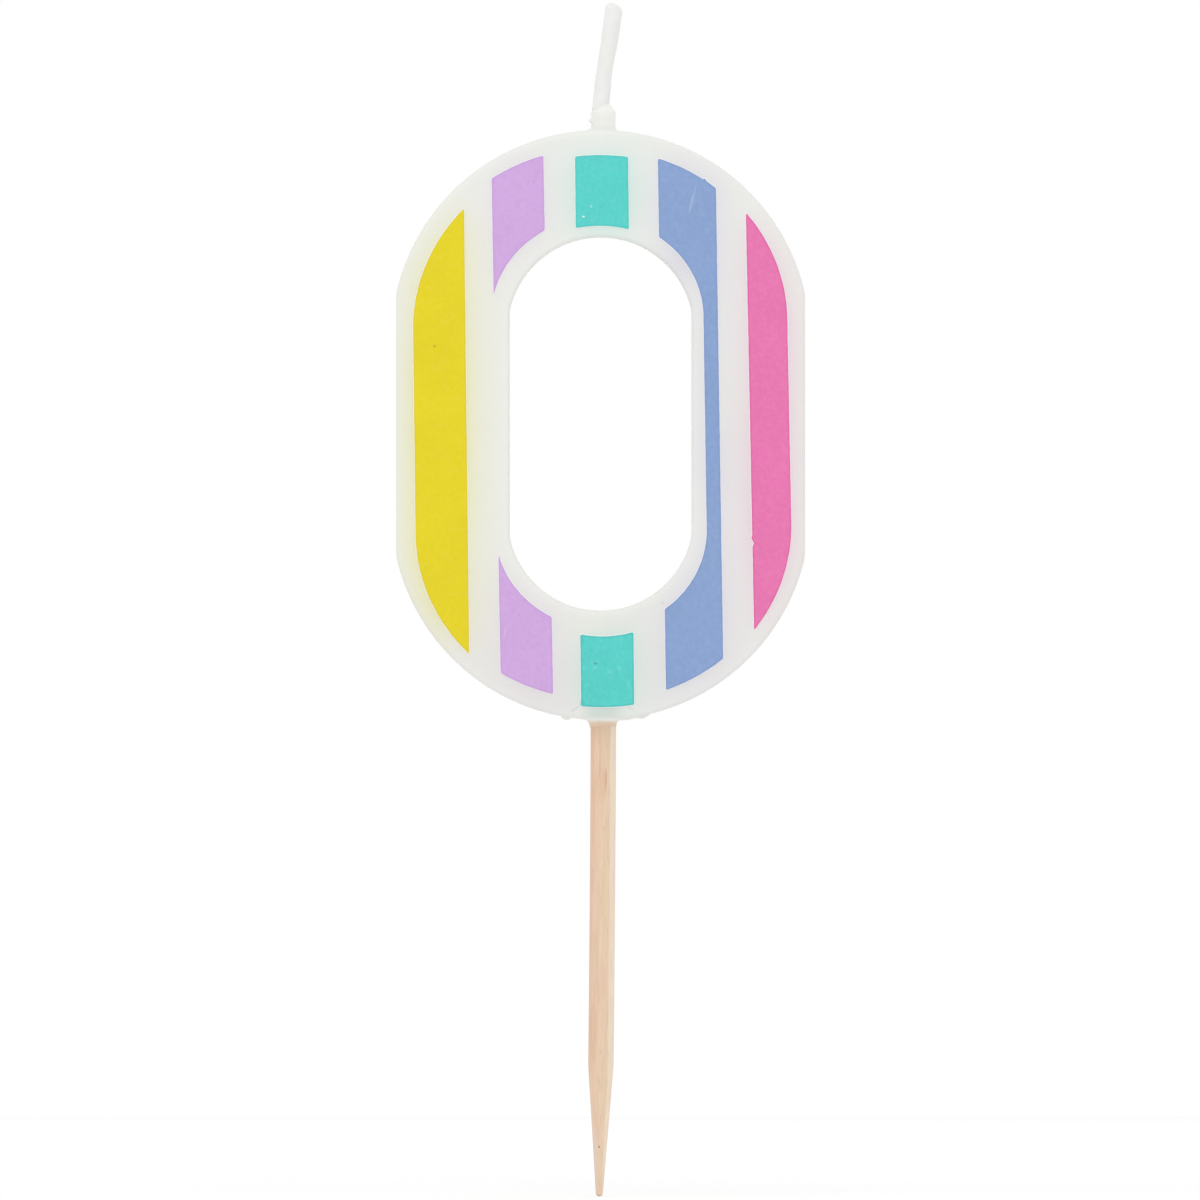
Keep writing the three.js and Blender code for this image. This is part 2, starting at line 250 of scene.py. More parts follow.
# %% [markdown]
# Camera
#
# The photograph is square on to the printed front and shows nothing of the opening's inner walls,
# so it was taken from far away. A very long lens at 4.5 m gives the same flat view. Its width
# follows from what the photograph spans at the front face: 121.92 mm across 1200 pixels, and that
# face lies half of the 9 mm thickness in front of the origin.

# %% Make the camera
PIXEL = 0.1016 * MM
PICTURE_PIXELS = 1200
VIEW_CENTRE = Vector((-0.06 * MM, 0.0, 12.305 * MM))
CAMERA_DISTANCE = 4.5
SENSOR_WIDTH = 36.0
FRONT_FACE = -4.5 * MM

camera = linked("camera", bpy.data.cameras.new("camera"))
camera.location = VIEW_CENTRE + Vector((0, FRONT_FACE - CAMERA_DISTANCE, 0))
camera.rotation_euler = (math.radians(90), 0, 0)
camera.data.sensor_width = SENSOR_WIDTH
camera.data.lens = SENSOR_WIDTH * CAMERA_DISTANCE / (PIXEL * PICTURE_PIXELS)
camera.data.clip_start = 0.1
camera.data.clip_end = 20.0
scene.camera = camera
print("lens in mm:", round(camera.data.lens))

# %% [markdown]
# Light and background
#
# The candle was photographed in a white tent: nearly even light from all round, a little more of it
# from above, and a pure white background. The world gives the even part. Rays that come straight
# from the camera, and the ones that reflect, see it as white. A wide lamp above the front and a
# weaker one behind add the soft falling-off towards the foot.

# %% World and lamps
SKY_LEVEL = 0.91
CANDLE_MIDDLE = Vector((0.0, 0.0, 0.03))
SOFTBOX_SIZE = 0.5

world = bpy.data.worlds.new("white_tent")
scene.world = world
sky = blank(world)
rays = add(sky, "ShaderNodeLightPath").outputs
white = Flow(sky, rays["Is Camera Ray"]).maths("MAXIMUM", rays["Is Glossy Ray"])
white = white.maths("MAXIMUM", rays["Is Transmission Ray"])
level = white.maths("MULTIPLY_ADD", 1.0 - SKY_LEVEL, SKY_LEVEL)
backdrop = flow(sky, "ShaderNodeBackground", {"Color": (1, 1, 1, 1), "Strength": level})
add(sky, "ShaderNodeOutputWorld", {"Surface": backdrop})


def soft_lamp(name, place, watts):
    """A square softbox that faces the candle."""
    lamp = linked(name, bpy.data.lights.new(name, "AREA"))
    lamp.location = place
    lamp.rotation_euler = (CANDLE_MIDDLE - Vector(place)).to_track_quat("-Z", "Y").to_euler()
    lamp.data.size = SOFTBOX_SIZE
    lamp.data.energy = watts


soft_lamp("lamp_above_front", (-0.1, -0.4, 0.34), 0.42)
soft_lamp("lamp_behind", (0.2, 0.4, 0.3), 0.2)
print("sky level:", SKY_LEVEL)

# %% [markdown]
# Floor
#
# The floor is a pale sheet just under the pick's point. What the camera sees of it gets a touch of
# its own light, so that it meets the background without an edge. The touch is weaker round the
# candle, where the floor keeps its faint shadow. From beneath, the camera looks through the floor
# at the underside.

# %% Meshes and a ring of directions
RING_SIDES = 96
TURNS = [360 * step / RING_SIDES for step in range(RING_SIDES)]
RING = [(turn, math.cos(math.radians(turn)), math.sin(math.radians(turn))) for turn in TURNS]


def linked_mesh(name, points, faces, material):
    mesh = bpy.data.meshes.new(name)
    mesh.from_pydata([tuple(point) for point in points], [], faces)
    mesh.materials.append(material)
    mesh.update()
    mesh.polygons.foreach_set("use_smooth", [True] * len(mesh.polygons))
    return linked(name, mesh)


# %% Lay the floor
FLOOR_RADIUS = 0.7
FLOOR_GAP = 0.02 * MM
FLOOR_WHITE = (0.92, 0.92, 0.92, 1)
OWN_LIGHT_NEAR, OWN_LIGHT_FAR = 0.08, 0.13
NEAR, FAR = 0.1, 0.45

paper = bpy.data.materials.new("pale_paper")
floor_height = cad_low.z - FLOOR_GAP
floor = linked_mesh("floor", [(x * FLOOR_RADIUS, y * FLOOR_RADIUS, floor_height)
                              for _, x, y in RING], [range(RING_SIDES)], paper)
sheet = blank(paper)
diffuse = flow(sheet, "ShaderNodeBsdfDiffuse", {"Color": FLOOR_WHITE})
seen = flow(sheet, "ShaderNodeLightPath", output="Is Camera Ray")
away = flow(sheet, "ShaderNodeVectorMath", {0: object_place(sheet)}, "Value", operation="LENGTH")
glow = away.ramp(NEAR, FAR) * (OWN_LIGHT_FAR - OWN_LIGHT_NEAR) + OWN_LIGHT_NEAR
own_light = flow(sheet, "ShaderNodeEmission", {"Strength": seen * glow})
both = flow(sheet, "ShaderNodeAddShader", {0: diffuse, 1: own_light})
from_beneath = seen * flow(sheet, "ShaderNodeNewGeometry", output="Backfacing")
clear = flow(sheet, "ShaderNodeBsdfTransparent")
either = flow(sheet, "ShaderNodeMixShader", {0: from_beneath, 1: both, 2: clear})
add(sheet, "ShaderNodeOutputMaterial", {"Surface": either})
floor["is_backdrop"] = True
print("floor at mm:", round(floor_height / MM, 2))


# %% [markdown]
# Colours
#
# The colours were read from the photograph as sRGB values, from 0 to 255. Blender's shaders want
# linear light, so one helper turns the first into the second. Lamps and world are level enough that
# each colour renders close to how it is written here.

# %% Colour helper
def srgb(red, green, blue):
    """An sRGB colour, 0 to 255, as a linear RGBA."""
    shares = [value / 255 for value in (red, green, blue)]
    linear = [s / 12.92 if s <= 0.04045 else ((s + 0.055) / 1.055) ** 2.4 for s in shares]
    return (*linear, 1.0)


WAX_WHITE = srgb(233, 234, 229)
# The foot colour is painted shade: the wax is made a little darker towards the bottom.
WAX_FOOT_PAINTED_SHADE = srgb(231, 230, 226)
print("wax in linear light:", [round(part, 3) for part in WAX_WHITE[:3]])


# %% [markdown]
# Small marks
#
# Specks, dots and scratches are what tell a real print from a drawn one. Each is a small ellipse at
# a known place. One shader group answers for all of them: it takes the place, the size, the turn
# and how deep the mark may reach, and gives a mask that is 1 on the mark and fades to 0 across its
# edge.

# %% Shader group: mark
def mark_rule(tree, right, up, half_length, half_width, turn, softness, front, behind):
    x, y, z = object_place(tree).parts()
    across = x - right
    along = z - up
    cosine = turn.maths("COSINE")
    sine = turn.maths("SINE")
    lengthwise = (across * cosine + along * sine) / half_length
    sideways = (along * cosine - across * sine) / half_width
    distance = (lengthwise * lengthwise + sideways * sideways).maths("SQRT")
    fade = (distance - 1.0) / softness
    return {"Mask": fade.fall(-1.0, 1.0) * y.fall(front, behind)}


ON_FACE = (-4.4 * MM, -4.0 * MM)
MARK = group("Mark", "ShaderNodeTree", mark_rule, right=0.0, up=0.0, half_length=0.5 * MM,
             half_width=0.2 * MM, turn=0.0, softness=0.5, front=ON_FACE[0], behind=ON_FACE[1])


def marked(tree, colour, marks, depths=ON_FACE):
    """Lays small marks over a colour. Each gives its place to the right and up, its half length
    and half width in mm, its turn in degrees, its strength and its sRGB colour."""
    for *lengths, degrees, strength, tint in marks:
        sizes = [length * MM for length in lengths] + [math.radians(degrees)]
        inputs = dict(zip(("Right", "Up", "Half Length", "Half Width", "Turn", "Front", "Behind"),
                          (*sizes, *depths)))
        share = flow(tree, "ShaderNodeGroup", inputs, node_tree=MARK) * strength
        colour = share.blend(colour, srgb(*tint))
    return colour


print("marks drawn by:", MARK.name)


# %% [markdown]
# The cast zero: its outline
#
# Mould makers draw such a zero as two straight sides and two round ends, and the opening is the
# same shape again, smaller. One node group gives a point of that outline for a share from 0 to 1
# round it. It folds the outline into a quarter, walks up the straight side, then along the arc, and
# unfolds the result. Smooth minimum and maximum soften the shoulder where the two meet.

# %% Geometry group: round-ended outline
SIDE_SHARE = 0.32
SIDE_BLEND = 0.067
ARC_BLEND = 0.031


def outline_rule(tree, share, half_width, half_height, end_rise, middle):
    quarters = share * 4.0
    climb = quarters.maths("PINGPONG", 1.0)
    side = (climb / SIDE_SHARE).maths("SMOOTH_MIN", 1.0, SIDE_BLEND)
    arc = ((climb - SIDE_SHARE) / (1.0 - SIDE_SHARE)).maths("SMOOTH_MAX", 0.0, ARC_BLEND)
    radius = (half_width * half_width + end_rise * end_rise) / (end_rise * 2.0)
    whole_angle = (half_width / radius).maths("ARCSINE")
    angle = whole_angle * (1.0 - arc)
    x = radius * angle.maths("SINE")
    arc_height = radius * (angle.maths("COSINE") - whole_angle.maths("COSINE"))
    z = (half_height - end_rise) * side + arc_height
    on_left = (quarters - 2.0).maths("ABSOLUTE").maths("LESS_THAN", 1.0)
    below = quarters.maths("GREATER_THAN", 2.0)
    return {"Place": joined(tree, x * (1.0 - on_left * 2.0), 0.0,
                            middle + z * (1.0 - below * 2.0))}


OUTLINE = group("Round-ended outline", "GeometryNodeTree", outline_rule, share=0.0,
                half_width=0.0, half_height=0.0, end_rise=0.0, middle=0.0)
print("outline group nodes:", len(OUTLINE.nodes))


# %% [markdown]
# The cast zero: its body
#
# The body runs round between the two outlines with a rounded-rectangle section. A loft does this: a
# section curve is swept round a ring only to get the mesh's rows, and each vertex is then set where
# the rule says, so many hundredths of the way from the outer outline to the opening's. The section
# is a rectangle with filleted corners, cut into short steps, because the stripes' tint is stored on
# its vertices. Cast wax is never quite flat, so the faces sink by a few hundredths of a millimetre,
# and the back, which was the open side of the mould, sinks a little along its middle as wax
# shrinks.

# %% Geometry helpers
def short_steps(tree, curve, facet):
    """Cuts each straight stretch of a curve into steps of about one facet's length."""
    here = point_place(tree)
    index = flow(tree, "GeometryNodeInputIndex")
    following = flow(tree, "GeometryNodeOffsetPointInCurve", {"Point Index": index, "Offset": 1},
                     "Point Index")
    there = flow(tree, "GeometryNodeFieldAtIndex", {"Value": here, "Index": following},
                 data_type="FLOAT_VECTOR")
    gap = flow(tree, "ShaderNodeVectorMath", {0: here, 1: there}, "Value", operation="DISTANCE")
    return flow(tree, "GeometryNodeSubdivideCurve",
                {"Curve": curve, "Cuts": (gap / facet).maths("FLOOR")})


def captured(tree, geometry, label, kind, value):
    """Keeps a value on the geometry. Returns the geometry and the kept value."""
    node = add(tree, "GeometryNodeCaptureAttribute")
    node.capture_items.new(kind, label)
    plug(tree, geometry, node.inputs["Geometry"])
    plug(tree, value, node.inputs[label])
    return Flow(tree, node.outputs["Geometry"]), Flow(tree, node.outputs[label])


def moved(tree, geometry, way, vector):
    """Sets each point's Position, or moves it by an Offset."""
    return flow(tree, "GeometryNodeSetPosition", {"Geometry": geometry, way: vector})


# %% Geometry rule: cast zero
def zero_rule(tree, half_width, half_height, end_rise, middle, opening_half_width,
              opening_half_height, opening_end_rise, opening_middle, leg_width, thickness,
              edge_round, facet, waver, back_sink, steps_round, edge_steps):
    ring = flow(tree, "GeometryNodeCurvePrimitiveCircle", {"Resolution": steps_round})
    along = flow(tree, "GeometryNodeSplineParameter", output="Factor")
    path, share = captured(tree, ring, "Share", "FLOAT", along)

    block = flow(tree, "GeometryNodeCurvePrimitiveQuadrilateral",
                 {"Width": leg_width, "Height": thickness})
    rounded = flow(tree, "GeometryNodeFilletCurve", {
        "Curve": block, "Count": edge_steps, "Radius": edge_round, "Limit Radius": True},
        mode="POLY")
    profile, section = captured(
        tree, short_steps(tree, rounded, facet), "Section", "VECTOR", point_place(tree))

    band = flow(tree, "GeometryNodeCurveToMesh", {"Curve": path, "Profile Curve": profile})
    outer, opening = (
        flow(tree, "GeometryNodeGroup", dict(enumerate((share, *sizes))), node_tree=OUTLINE)
        for sizes in ((half_width, half_height, end_rise, middle),
                      (opening_half_width, opening_half_height, opening_end_rise, opening_middle)))
    x, y, _ = section.parts()
    inward = x / leg_width + 0.5
    flat = flow(tree, "ShaderNodeMix", {0: inward, 4: outer, 5: opening}, 1, data_type="VECTOR")
    # The back sinks, most along the middle between the two outlines
    ridge = inward * 2.0 - 1.0
    hollow = (1.0 - ridge * ridge).maths("MAXIMUM", 0.0)
    at_back = y.ramp(thickness * 0.45, thickness * 0.499)
    through = joined(tree, 0.0, y - hollow * hollow * at_back * back_sink, 0.0)
    place = flow(tree, "ShaderNodeVectorMath", {0: flat, 1: through})
    lofted = moved(tree, band, "Position", place)

    depth = point_place(tree).mottle(90.0, 1.0)
    sink = (depth * waver).scaling(flow(tree, "GeometryNodeInputNormal"))
    return flow(tree, "GeometryNodeFlipFaces", {"Mesh": moved(tree, lofted, "Offset", sink)})


# %% Cast the zero
FIGURE_BOTTOM, FIGURE_TOP = 0.1 * MM, 60.1 * MM
FIGURE_HALF_WIDTH = 20.8 * MM
FIGURE_THICKNESS = 9.0 * MM
LEG_WIDTH = 11.58 * MM
OPENING_BOTTOM, OPENING_TOP = 11.25 * MM, 49.17 * MM
FIGURE_RISE = 16.64 * MM
OPENING_RISE = 7.45 * MM

wax = bpy.data.materials.new("cast_paraffin")
zero = grown(
    "wax_figure", zero_rule, half_width=FIGURE_HALF_WIDTH,
    half_height=(FIGURE_TOP - FIGURE_BOTTOM) / 2, end_rise=FIGURE_RISE,
    middle=(FIGURE_TOP + FIGURE_BOTTOM) / 2, opening_half_width=FIGURE_HALF_WIDTH - LEG_WIDTH,
    opening_half_height=(OPENING_TOP - OPENING_BOTTOM) / 2, opening_end_rise=OPENING_RISE,
    opening_middle=(OPENING_TOP + OPENING_BOTTOM) / 2, leg_width=LEG_WIDTH,
    thickness=FIGURE_THICKNESS, edge_round=0.55 * MM, facet=0.4 * MM, waver=0.035 * MM,
    back_sink=0.14 * MM, steps_round=400, edge_steps=6, material=wax)
print("zero faces:", len(zero.data.polygons))


# %% [markdown]
# Mesh helpers
#
# The rest of the casting has no tidy rule: a torn collar, a knife-cut gate, wax that crept down the
# pick. Those are grids of points wrapped round an axis or laid over a plan. One helper closes rings
# of points into a skin, and another gives an even, repeatable unevenness.

# %% Skins and unevenness
def ringed(name, rings, material):
    """A closed skin over rings of points that run upwards, anticlockwise from above."""
    points = [point for ring in rings for point in ring]
    count = len(rings[0])
    top = len(points) - count
    faces = [tuple(reversed(range(count)))]
    for low in range(0, top, count):
        for step in range(count):
            first, second = low + step, low + (step + 1) % count
            faces.append((first, second, second + count, first + count))
    faces.append(tuple(range(top, top + count)))
    return linked_mesh(name, points, faces, material)


def uneven(x, y, z, scale, seed):
    """Repeatable noise from about -1 to 1 at a place in mm. Scale is features a metre."""
    place = Vector((x * MM, y * MM, z * MM)) * scale
    return noise.noise(place + Vector((seed * 7.3, seed * 3.1, seed)))


# %% [markdown]
# Collar
#
# Where the wick leaves the mould, wax pushes up the hole and sets as a stubby collar. It hugs the
# wick on the left, stands off on the right, and a scrap of torn flash hangs from its left side. A
# plain lathe would be too perfect, so each point of the rings gets its own radius: the lathe's,
# plus a few bumps at known angles and heights, plus a little unevenness.

# %% Make the collar
COLLAR_AXIS = 0.31 * MM
COLLAR_RADIUS = 1.21 * MM
COLLAR_ROWS = 64
COLLAR_WAVER = 0.035 * MM
# Height and swell beyond the radius, in mm
COLLAR_PROFILE = (
    (-1.2, 0.50), (-0.45, 0.50), (-0.25, 0.42), (-0.08, 0.26), (0.06, 0.13), (0.2, 0.05),
    (0.4, 0.015), (0.8, 0.0), (1.2, 0.0), (1.7, 0.0), (1.86, -0.01), (1.97, -0.05),
    (2.07, -0.13), (2.17, -0.22), (2.32, -0.3), (2.46, -0.39), (2.6, -0.52), (2.7, -0.66))
# Angle from the right, height, reach out, half height and half width of each torn scrap
COLLAR_FLASH = (
    (182, 0.94, 0.38, 0.14, 15), (176, 1.18, 0.2, 0.16, 18), (188, 0.76, 0.14, 0.1, 11),
    (178, 1.66, 0.12, 0.2, 24), (185, -0.05, 0.5, 0.13, 34), (300, 1.35, 0.06, 0.3, 20),
    (40, 0.6, 0.05, 0.4, 25), (8, 1.8, 0.06, 0.18, 30))


def collar_ring(height, swell):
    ring = []
    for degrees, x, y in RING:
        radius = COLLAR_RADIUS + swell * MM
        for angle, level, reach, half_height, half_width in COLLAR_FLASH:
            off = (degrees - angle + 180) % 360 - 180
            spread = (off / half_width) ** 2 + ((height - level) / half_height) ** 2
            radius += reach * MM * math.exp(-spread)
        radius += COLLAR_WAVER * uneven(x, y, height, 1400, 2)
        ring.append((COLLAR_AXIS + x * radius, y * radius, FIGURE_TOP + height * MM))
    return ring


heights = np.linspace(COLLAR_PROFILE[0][0], COLLAR_PROFILE[-1][0], COLLAR_ROWS)
swells = np.interp(heights, *zip(*COLLAR_PROFILE))
collar = ringed("collar", [collar_ring(h, s) for h, s in zip(heights, swells)], wax)
print("collar faces:", len(collar.data.polygons))


# %% [markdown]
# Gate
#
# The wax was poured in from below. The stump was then sliced off with a knife, which left a nearly
# flat land with a nub at its left end, a broken notch beside it and a lip that runs up to the
# right. The land is a small height map: its low surface follows the line that the photograph shows
# from the front, and shallow drag marks run across it.

# %% Make the trimmed gate
# Place to the right and height of the cut, in mm
GATE_LINE = (
    (-4.1, 0.62), (-3.85, 0.22), (-3.45, 0.11), (-3.2, 0.17), (-3.0, 0.33), (-2.5, 0.34),
    (-2.1, 0.24), (-1.5, 0.1), (-1.2, 0.06), (1.8, 0.03), (2.3, 0.08), (2.9, 0.14),
    (3.4, 0.27), (3.75, 0.3), (4.2, 0.22), (4.45, 0.3), (4.75, 0.52), (5.15, 0.78))
GATE_HALF_DEPTH = 3.0
GATE_ROOT = 2.5
GATE_COLUMNS, GATE_ROWS = 110, 72
# The lip along front and back, the raggedness of their edges, and the marks of the knife, in mm
LIP, RAGGED, DRAG, DENT = 0.3, 0.28, 0.03, 0.035


def gate_point(across, deep):
    """One point of the cut face. Both shares run from 0 to 1."""
    x = GATE_LINE[0][0] + (GATE_LINE[-1][0] - GATE_LINE[0][0]) * across
    ragged = RAGGED * uneven(x, 0, 0, 900, 5 + round(deep))
    y = (deep * 2 - 1) * (GATE_HALF_DEPTH + ragged)
    height = float(np.interp(x, *zip(*GATE_LINE)))
    edge = min(deep, 1 - deep) * 2 * GATE_HALF_DEPTH
    height += LIP * max(0.0, 1 - edge / LIP) ** 2
    drag = DRAG * uneven(x * 0.3, y, 0, 2600, 9)
    dent = DENT * uneven(x, y, 0, 700, 4)
    return (x * MM, y * MM, (height + drag + dent) * MM)


cut_face = [gate_point(column / (GATE_COLUMNS - 1), row / (GATE_ROWS - 1))
            for row in range(GATE_ROWS) for column in range(GATE_COLUMNS)]
count = len(cut_face)
order = np.arange(count).reshape(GATE_ROWS, GATE_COLUMNS)
corners = order[:-1, :-1].ravel()
gate_faces = np.column_stack(
    [corners, corners + GATE_COLUMNS, corners + GATE_COLUMNS + 1, corners + 1]).tolist()
border = np.concatenate(
    [order[0], order[1:, -1], order[-1, -2::-1], order[-2:0:-1, 0]]).tolist()
root = [(*cut_face[i][:2], GATE_ROOT * MM) for i in border]
for step, low in enumerate(border):
    following = (step + 1) % len(border)
    gate_faces.append((low, border[following], count + following, count + step))
gate_faces.append(tuple(range(count, count + len(border))))
gate = linked_mesh("gate", cut_face + root, gate_faces, wax)
print("gate faces:", len(gate.data.polygons))


# %% [markdown]
# Wax round the pick
#
# While the wax was liquid it wetted the wood and crept down it, so a thin skin with a wandering
# edge surrounds the pick below the figure. It is another set of rings, about the pick's leaning
# axis. Its lowest ring wanders up and down, and every ring above it follows by a smaller share.

# %% Make the crept wax
PICK_FOOT_X = 0.25 * MM
PICK_LEAN = math.radians(0.45)
PICK_RADIUS = 1.3 * MM
# Height and reach beyond the wood, from the lowest edge up into the figure
CREEP_PROFILE = ((-0.62, 0.0), (-0.6, 0.03), (-0.5, 0.05), (-0.38, 0.08), (-0.27, 0.11),
                 (-0.16, 0.16), (-0.06, 0.23), (0.04, 0.34), (0.16, 0.5), (0.6, 0.6), (1.6, 0.6))
# The edge wanders this far in mm, less and less over a span that ends at a height
WANDER, WANDER_SPAN, STILL_ABOVE = 0.16, 0.86, 0.2
CREEP_SWELL = 0.25


def creep_ring(height, reach):
    ring = []
    for _, x, y in RING:
        share = min(1.0, max(0.0, (STILL_ABOVE - height) / WANDER_SPAN))
        z = (height + WANDER * uneven(x, y, 0, 1100, 12) * share) * MM
        radius = PICK_RADIUS + reach * MM * (1 + CREEP_SWELL * uneven(x, y, 0, 800, 6))
        ring.append((PICK_FOOT_X + z * math.tan(PICK_LEAN) + x * radius, y * radius, z))
    return ring


creep = ringed("crept_wax", [creep_ring(h, r) for h, r in CREEP_PROFILE], wax)
print("crept wax faces:", len(creep.data.polygons))


# %% [markdown]
# One casting
#
# Figure, collar, gate and crept wax set as one body, so they are joined with booleans into one
# closed skin. Sharp corners between them are kept sharp where they meet at more than 38 degrees.

# %% Join the casting
SHARP = math.radians(38)


def volume(mesh):
    """Volume in cubic millimetres. It is positive when the faces look outward."""
    mesh.calc_loop_triangles()
    places = np.array([vertex.co for vertex in mesh.vertices])
    corners = places[[triangle.vertices[:] for triangle in mesh.loop_triangles]]
    return float(np.linalg.det(corners).sum() / 6 / MM**3)


def described(piece):
    return f"{len(piece.data.polygons)} faces, {volume(piece.data):.2f} mm3"


def joined_with(body, *others):
    """Unites closed meshes into the first one and removes the others."""
    for other in others:
        modifier = body.modifiers.new("Join", "BOOLEAN")
        modifier.operation = "UNION"
        modifier.solver = "EXACT"
        modifier.object = other
    depsgraph = bpy.context.evaluated_depsgraph_get()
    plain = bpy.data.meshes.new_from_object(body.evaluated_get(depsgraph))
    body.modifiers.clear()
    body.data = plain
    for other in others:
        bpy.data.objects.remove(other)
    plain.polygons.foreach_set("use_smooth", [True] * len(plain.polygons))
    plain.set_sharp_from_angle(angle=SHARP)


print("volumes:", [round(volume(o.data), 1) for o in (zero, collar, gate, creep)])
joined_with(zero, collar, gate, creep)
print("casting:", described(zero))


# %% [markdown]
# Printed stripes: their outlines
#
# The artwork is one round-ended band with an opening of its own, cut by straight vertical gaps.
# Each colour was printed in its own pass and landed a little off, turned by about a degree. So an
# outline is drawn about the figure's middle, in millimetres, and then moved as its pass landed. Ink
# doesn't hold a needle-sharp corner, so a few rounds of averaging soften the corners.

# %% Artwork
# Half width, half height, rise of the elliptical end, and middle, of the band and its opening
ART = (19.05, 28.05, 17.63, 0.0)
BARE = (10.77, 20.85, 10.04, 0.11)
STEPS_ALONG = 80


def along_end(shape, side, start, end, drop=0.0):
    """Points along the upper (side 1) or lower (side -1) end of a shape, from one distance off
    the centre line to another. They get finer towards both. Drop lowers them."""
    half_width, half_height, rise, middle = shape
    points = []
    for step in range(STEPS_ALONG + 1):
        x = start + (end - start) * (1 - math.cos(math.pi * step / STEPS_ALONG)) / 2
        height = half_height - rise + rise * math.sqrt(max(0.0, 1 - (x / half_width) ** 2))
        points.append((x, middle + side * height - drop))
    return points


def patch(left, right, side, drop=0.0):
    """The part of a stripe above (side 1) or below (side -1) the opening."""
    return along_end(BARE, side, left, right, drop) + along_end(ART, side, right, left)


def outer_stripe(edge, side):
    """A stripe from one straight edge out to the border, on the right (side 1) or left."""
    rim = side * ART[0]
    return along_end(ART, 1, edge, rim) + along_end(ART, -1, edge, rim)[::-1]


def leg_stripe(left, right):
    """The stripe that runs down the leg and reaches over and under the opening."""
    return (along_end(ART, 1, left, right) + along_end(ART, -1, right, left)
            + along_end(BARE, -1, left, BARE[0]) + along_end(BARE, 1, left, BARE[0])[::-1])


# %% Passes
PRINT_MIDDLE = 30.1
PRINT_STEP = 0.1
PRINT_RAGGED = 0.02
CORNER_ROUNDS = 2


def resampled(points, step):
    """The same closed outline as points at even steps."""
    closed = np.vstack([points, points[:1]])
    lengths = np.linalg.norm(np.diff(closed, axis=0), axis=1)
    along = np.concatenate([[0], np.cumsum(lengths)])
    stops = np.linspace(0, along[-1], max(12, round(along[-1] / step)), endpoint=False)
    return np.column_stack([np.interp(stops, along, closed[:, i]) for i in range(2)])


def normals_of(outline):
    """Outward directions along an anticlockwise outline."""
    along = np.roll(outline, -1, 0) - np.roll(outline, 1, 0)
    outward = np.column_stack([along[:, 1], -along[:, 0]])
    return outward / np.linalg.norm(outward, axis=1)[:, None]


def landed(points, right, up, turn, nicks=()):
    """A stripe's outline on the front face, in mm: softened, moved as its pass landed, and
    anticlockwise. Nicks are (x, z, reach, half width): small bulges, or dents where the reach is
    negative."""
    points = resampled(np.array(points), PRINT_STEP)
    for _ in range(CORNER_ROUNDS):
        points = (np.roll(points, 1, 0) + 2 * points + np.roll(points, -1, 0)) / 4
    cosine, sine = math.cos(math.radians(turn)), math.sin(math.radians(turn))
    points = points @ np.array([[cosine, sine], [-sine, cosine]])
    points += (right, up + PRINT_MIDDLE)
    x, z = points.T
    if np.sum(x * np.roll(z, -1) - z * np.roll(x, -1)) < 0:
        points = points[::-1].copy()
    push = np.array([PRINT_RAGGED * uneven(px, 0, pz, 1500, 3) for px, pz in points])
    for nick_x, nick_z, reach, half_width in nicks:
        away = np.hypot(points[:, 0] - nick_x, points[:, 1] - nick_z)
        push += reach * np.exp(-(away / half_width) ** 2)
    return points + normals_of(points) * push[:, None]


# %% Seven outlines
STRIPES = {
    "yellow_stripe": landed(outer_stripe(-13.71, -1), 0.11, -0.49, 0.66),
    "lilac_stripe_top": landed(patch(-10.49, -5.17, 1), -0.14, 0.10, 1.05),
    "lilac_stripe_bottom": landed(patch(-10.49, -5.17, -1), -0.14, 0.10, 1.05),
    "turquoise_stripe_top": landed(patch(-2.31, 3.11, 1, 0.12), 0.02, -0.62, 0.67),
    "turquoise_stripe_bottom": landed(patch(-2.31, 3.11, -1, 0.09), 0.0, -0.65, 0.67),
    "blue_stripe": landed(leg_stripe(6.38, 12.26), -0.16, -0.03, 0.88,
                          [(10.55, 54.95, 0.3, 0.11), (10.3, 55.08, -0.06, 0.12)]),
    "pink_stripe": landed(outer_stripe(15.03, 1), 0.14, 0.06, 1.13,
                          [(15.3, 18.6, 0.16, 0.16), (15.3, 18.05, -0.2, 0.2)]),
}
for label, points in STRIPES.items():
    print(label, np.round(points.min(0), 2), np.round(points.max(0), 2))


# %% [markdown]
# Printed stripes: their bodies
#
# A print on wax is thick enough to feel. Its surface rises from the wax in a small round edge and
# the ink stands highest just inside that edge. The mesh needs its finest rows there, so points are
# laid on copies of the outline moved inwards and on a plain grid in the middle, and Delaunay
# triangles join them. Each point's true distance from the edge gives its height, and is kept as an
# attribute that the ink's material reads.

# %% Distances and attributes
def distance_to(points, outline):
    """Distance from each point to a closed outline, in the outline's unit."""
    along = np.roll(outline, -1, 0) - outline
    length = (along ** 2).sum(1)
    found = []
    for some in np.array_split(points, max(1, len(points) // 400)):
        offset = some[:, None] - outline[None]
        share = np.clip((offset * along).sum(2) / length, 0, 1)
        away = offset - share[..., None] * along
        found.append(np.sqrt((away ** 2).sum(2).min(1)))
    return np.concatenate(found)


def is_inside(points, outline):
    """True for each point within a closed outline."""
    x, z = points.T
    inside = np.zeros(len(points), bool)
    for (ax, az), (bx, bz) in zip(outline, np.roll(outline, -1, 0)):
        if az != bz:
            crosses = (az > z) != (bz > z)
            inside ^= crosses & (x < (bx - ax) * (z - az) / (bz - az) + ax)
    return inside


def grid_in(outline, step):
    """The points of an even grid that lie within an outline."""
    low, high = outline.min(0), outline.max(0)
    grid = np.array([(x, z) for x in np.arange(low[0], high[0], step)
                     for z in np.arange(low[1], high[1], step)])
    return grid[is_inside(grid, outline)]


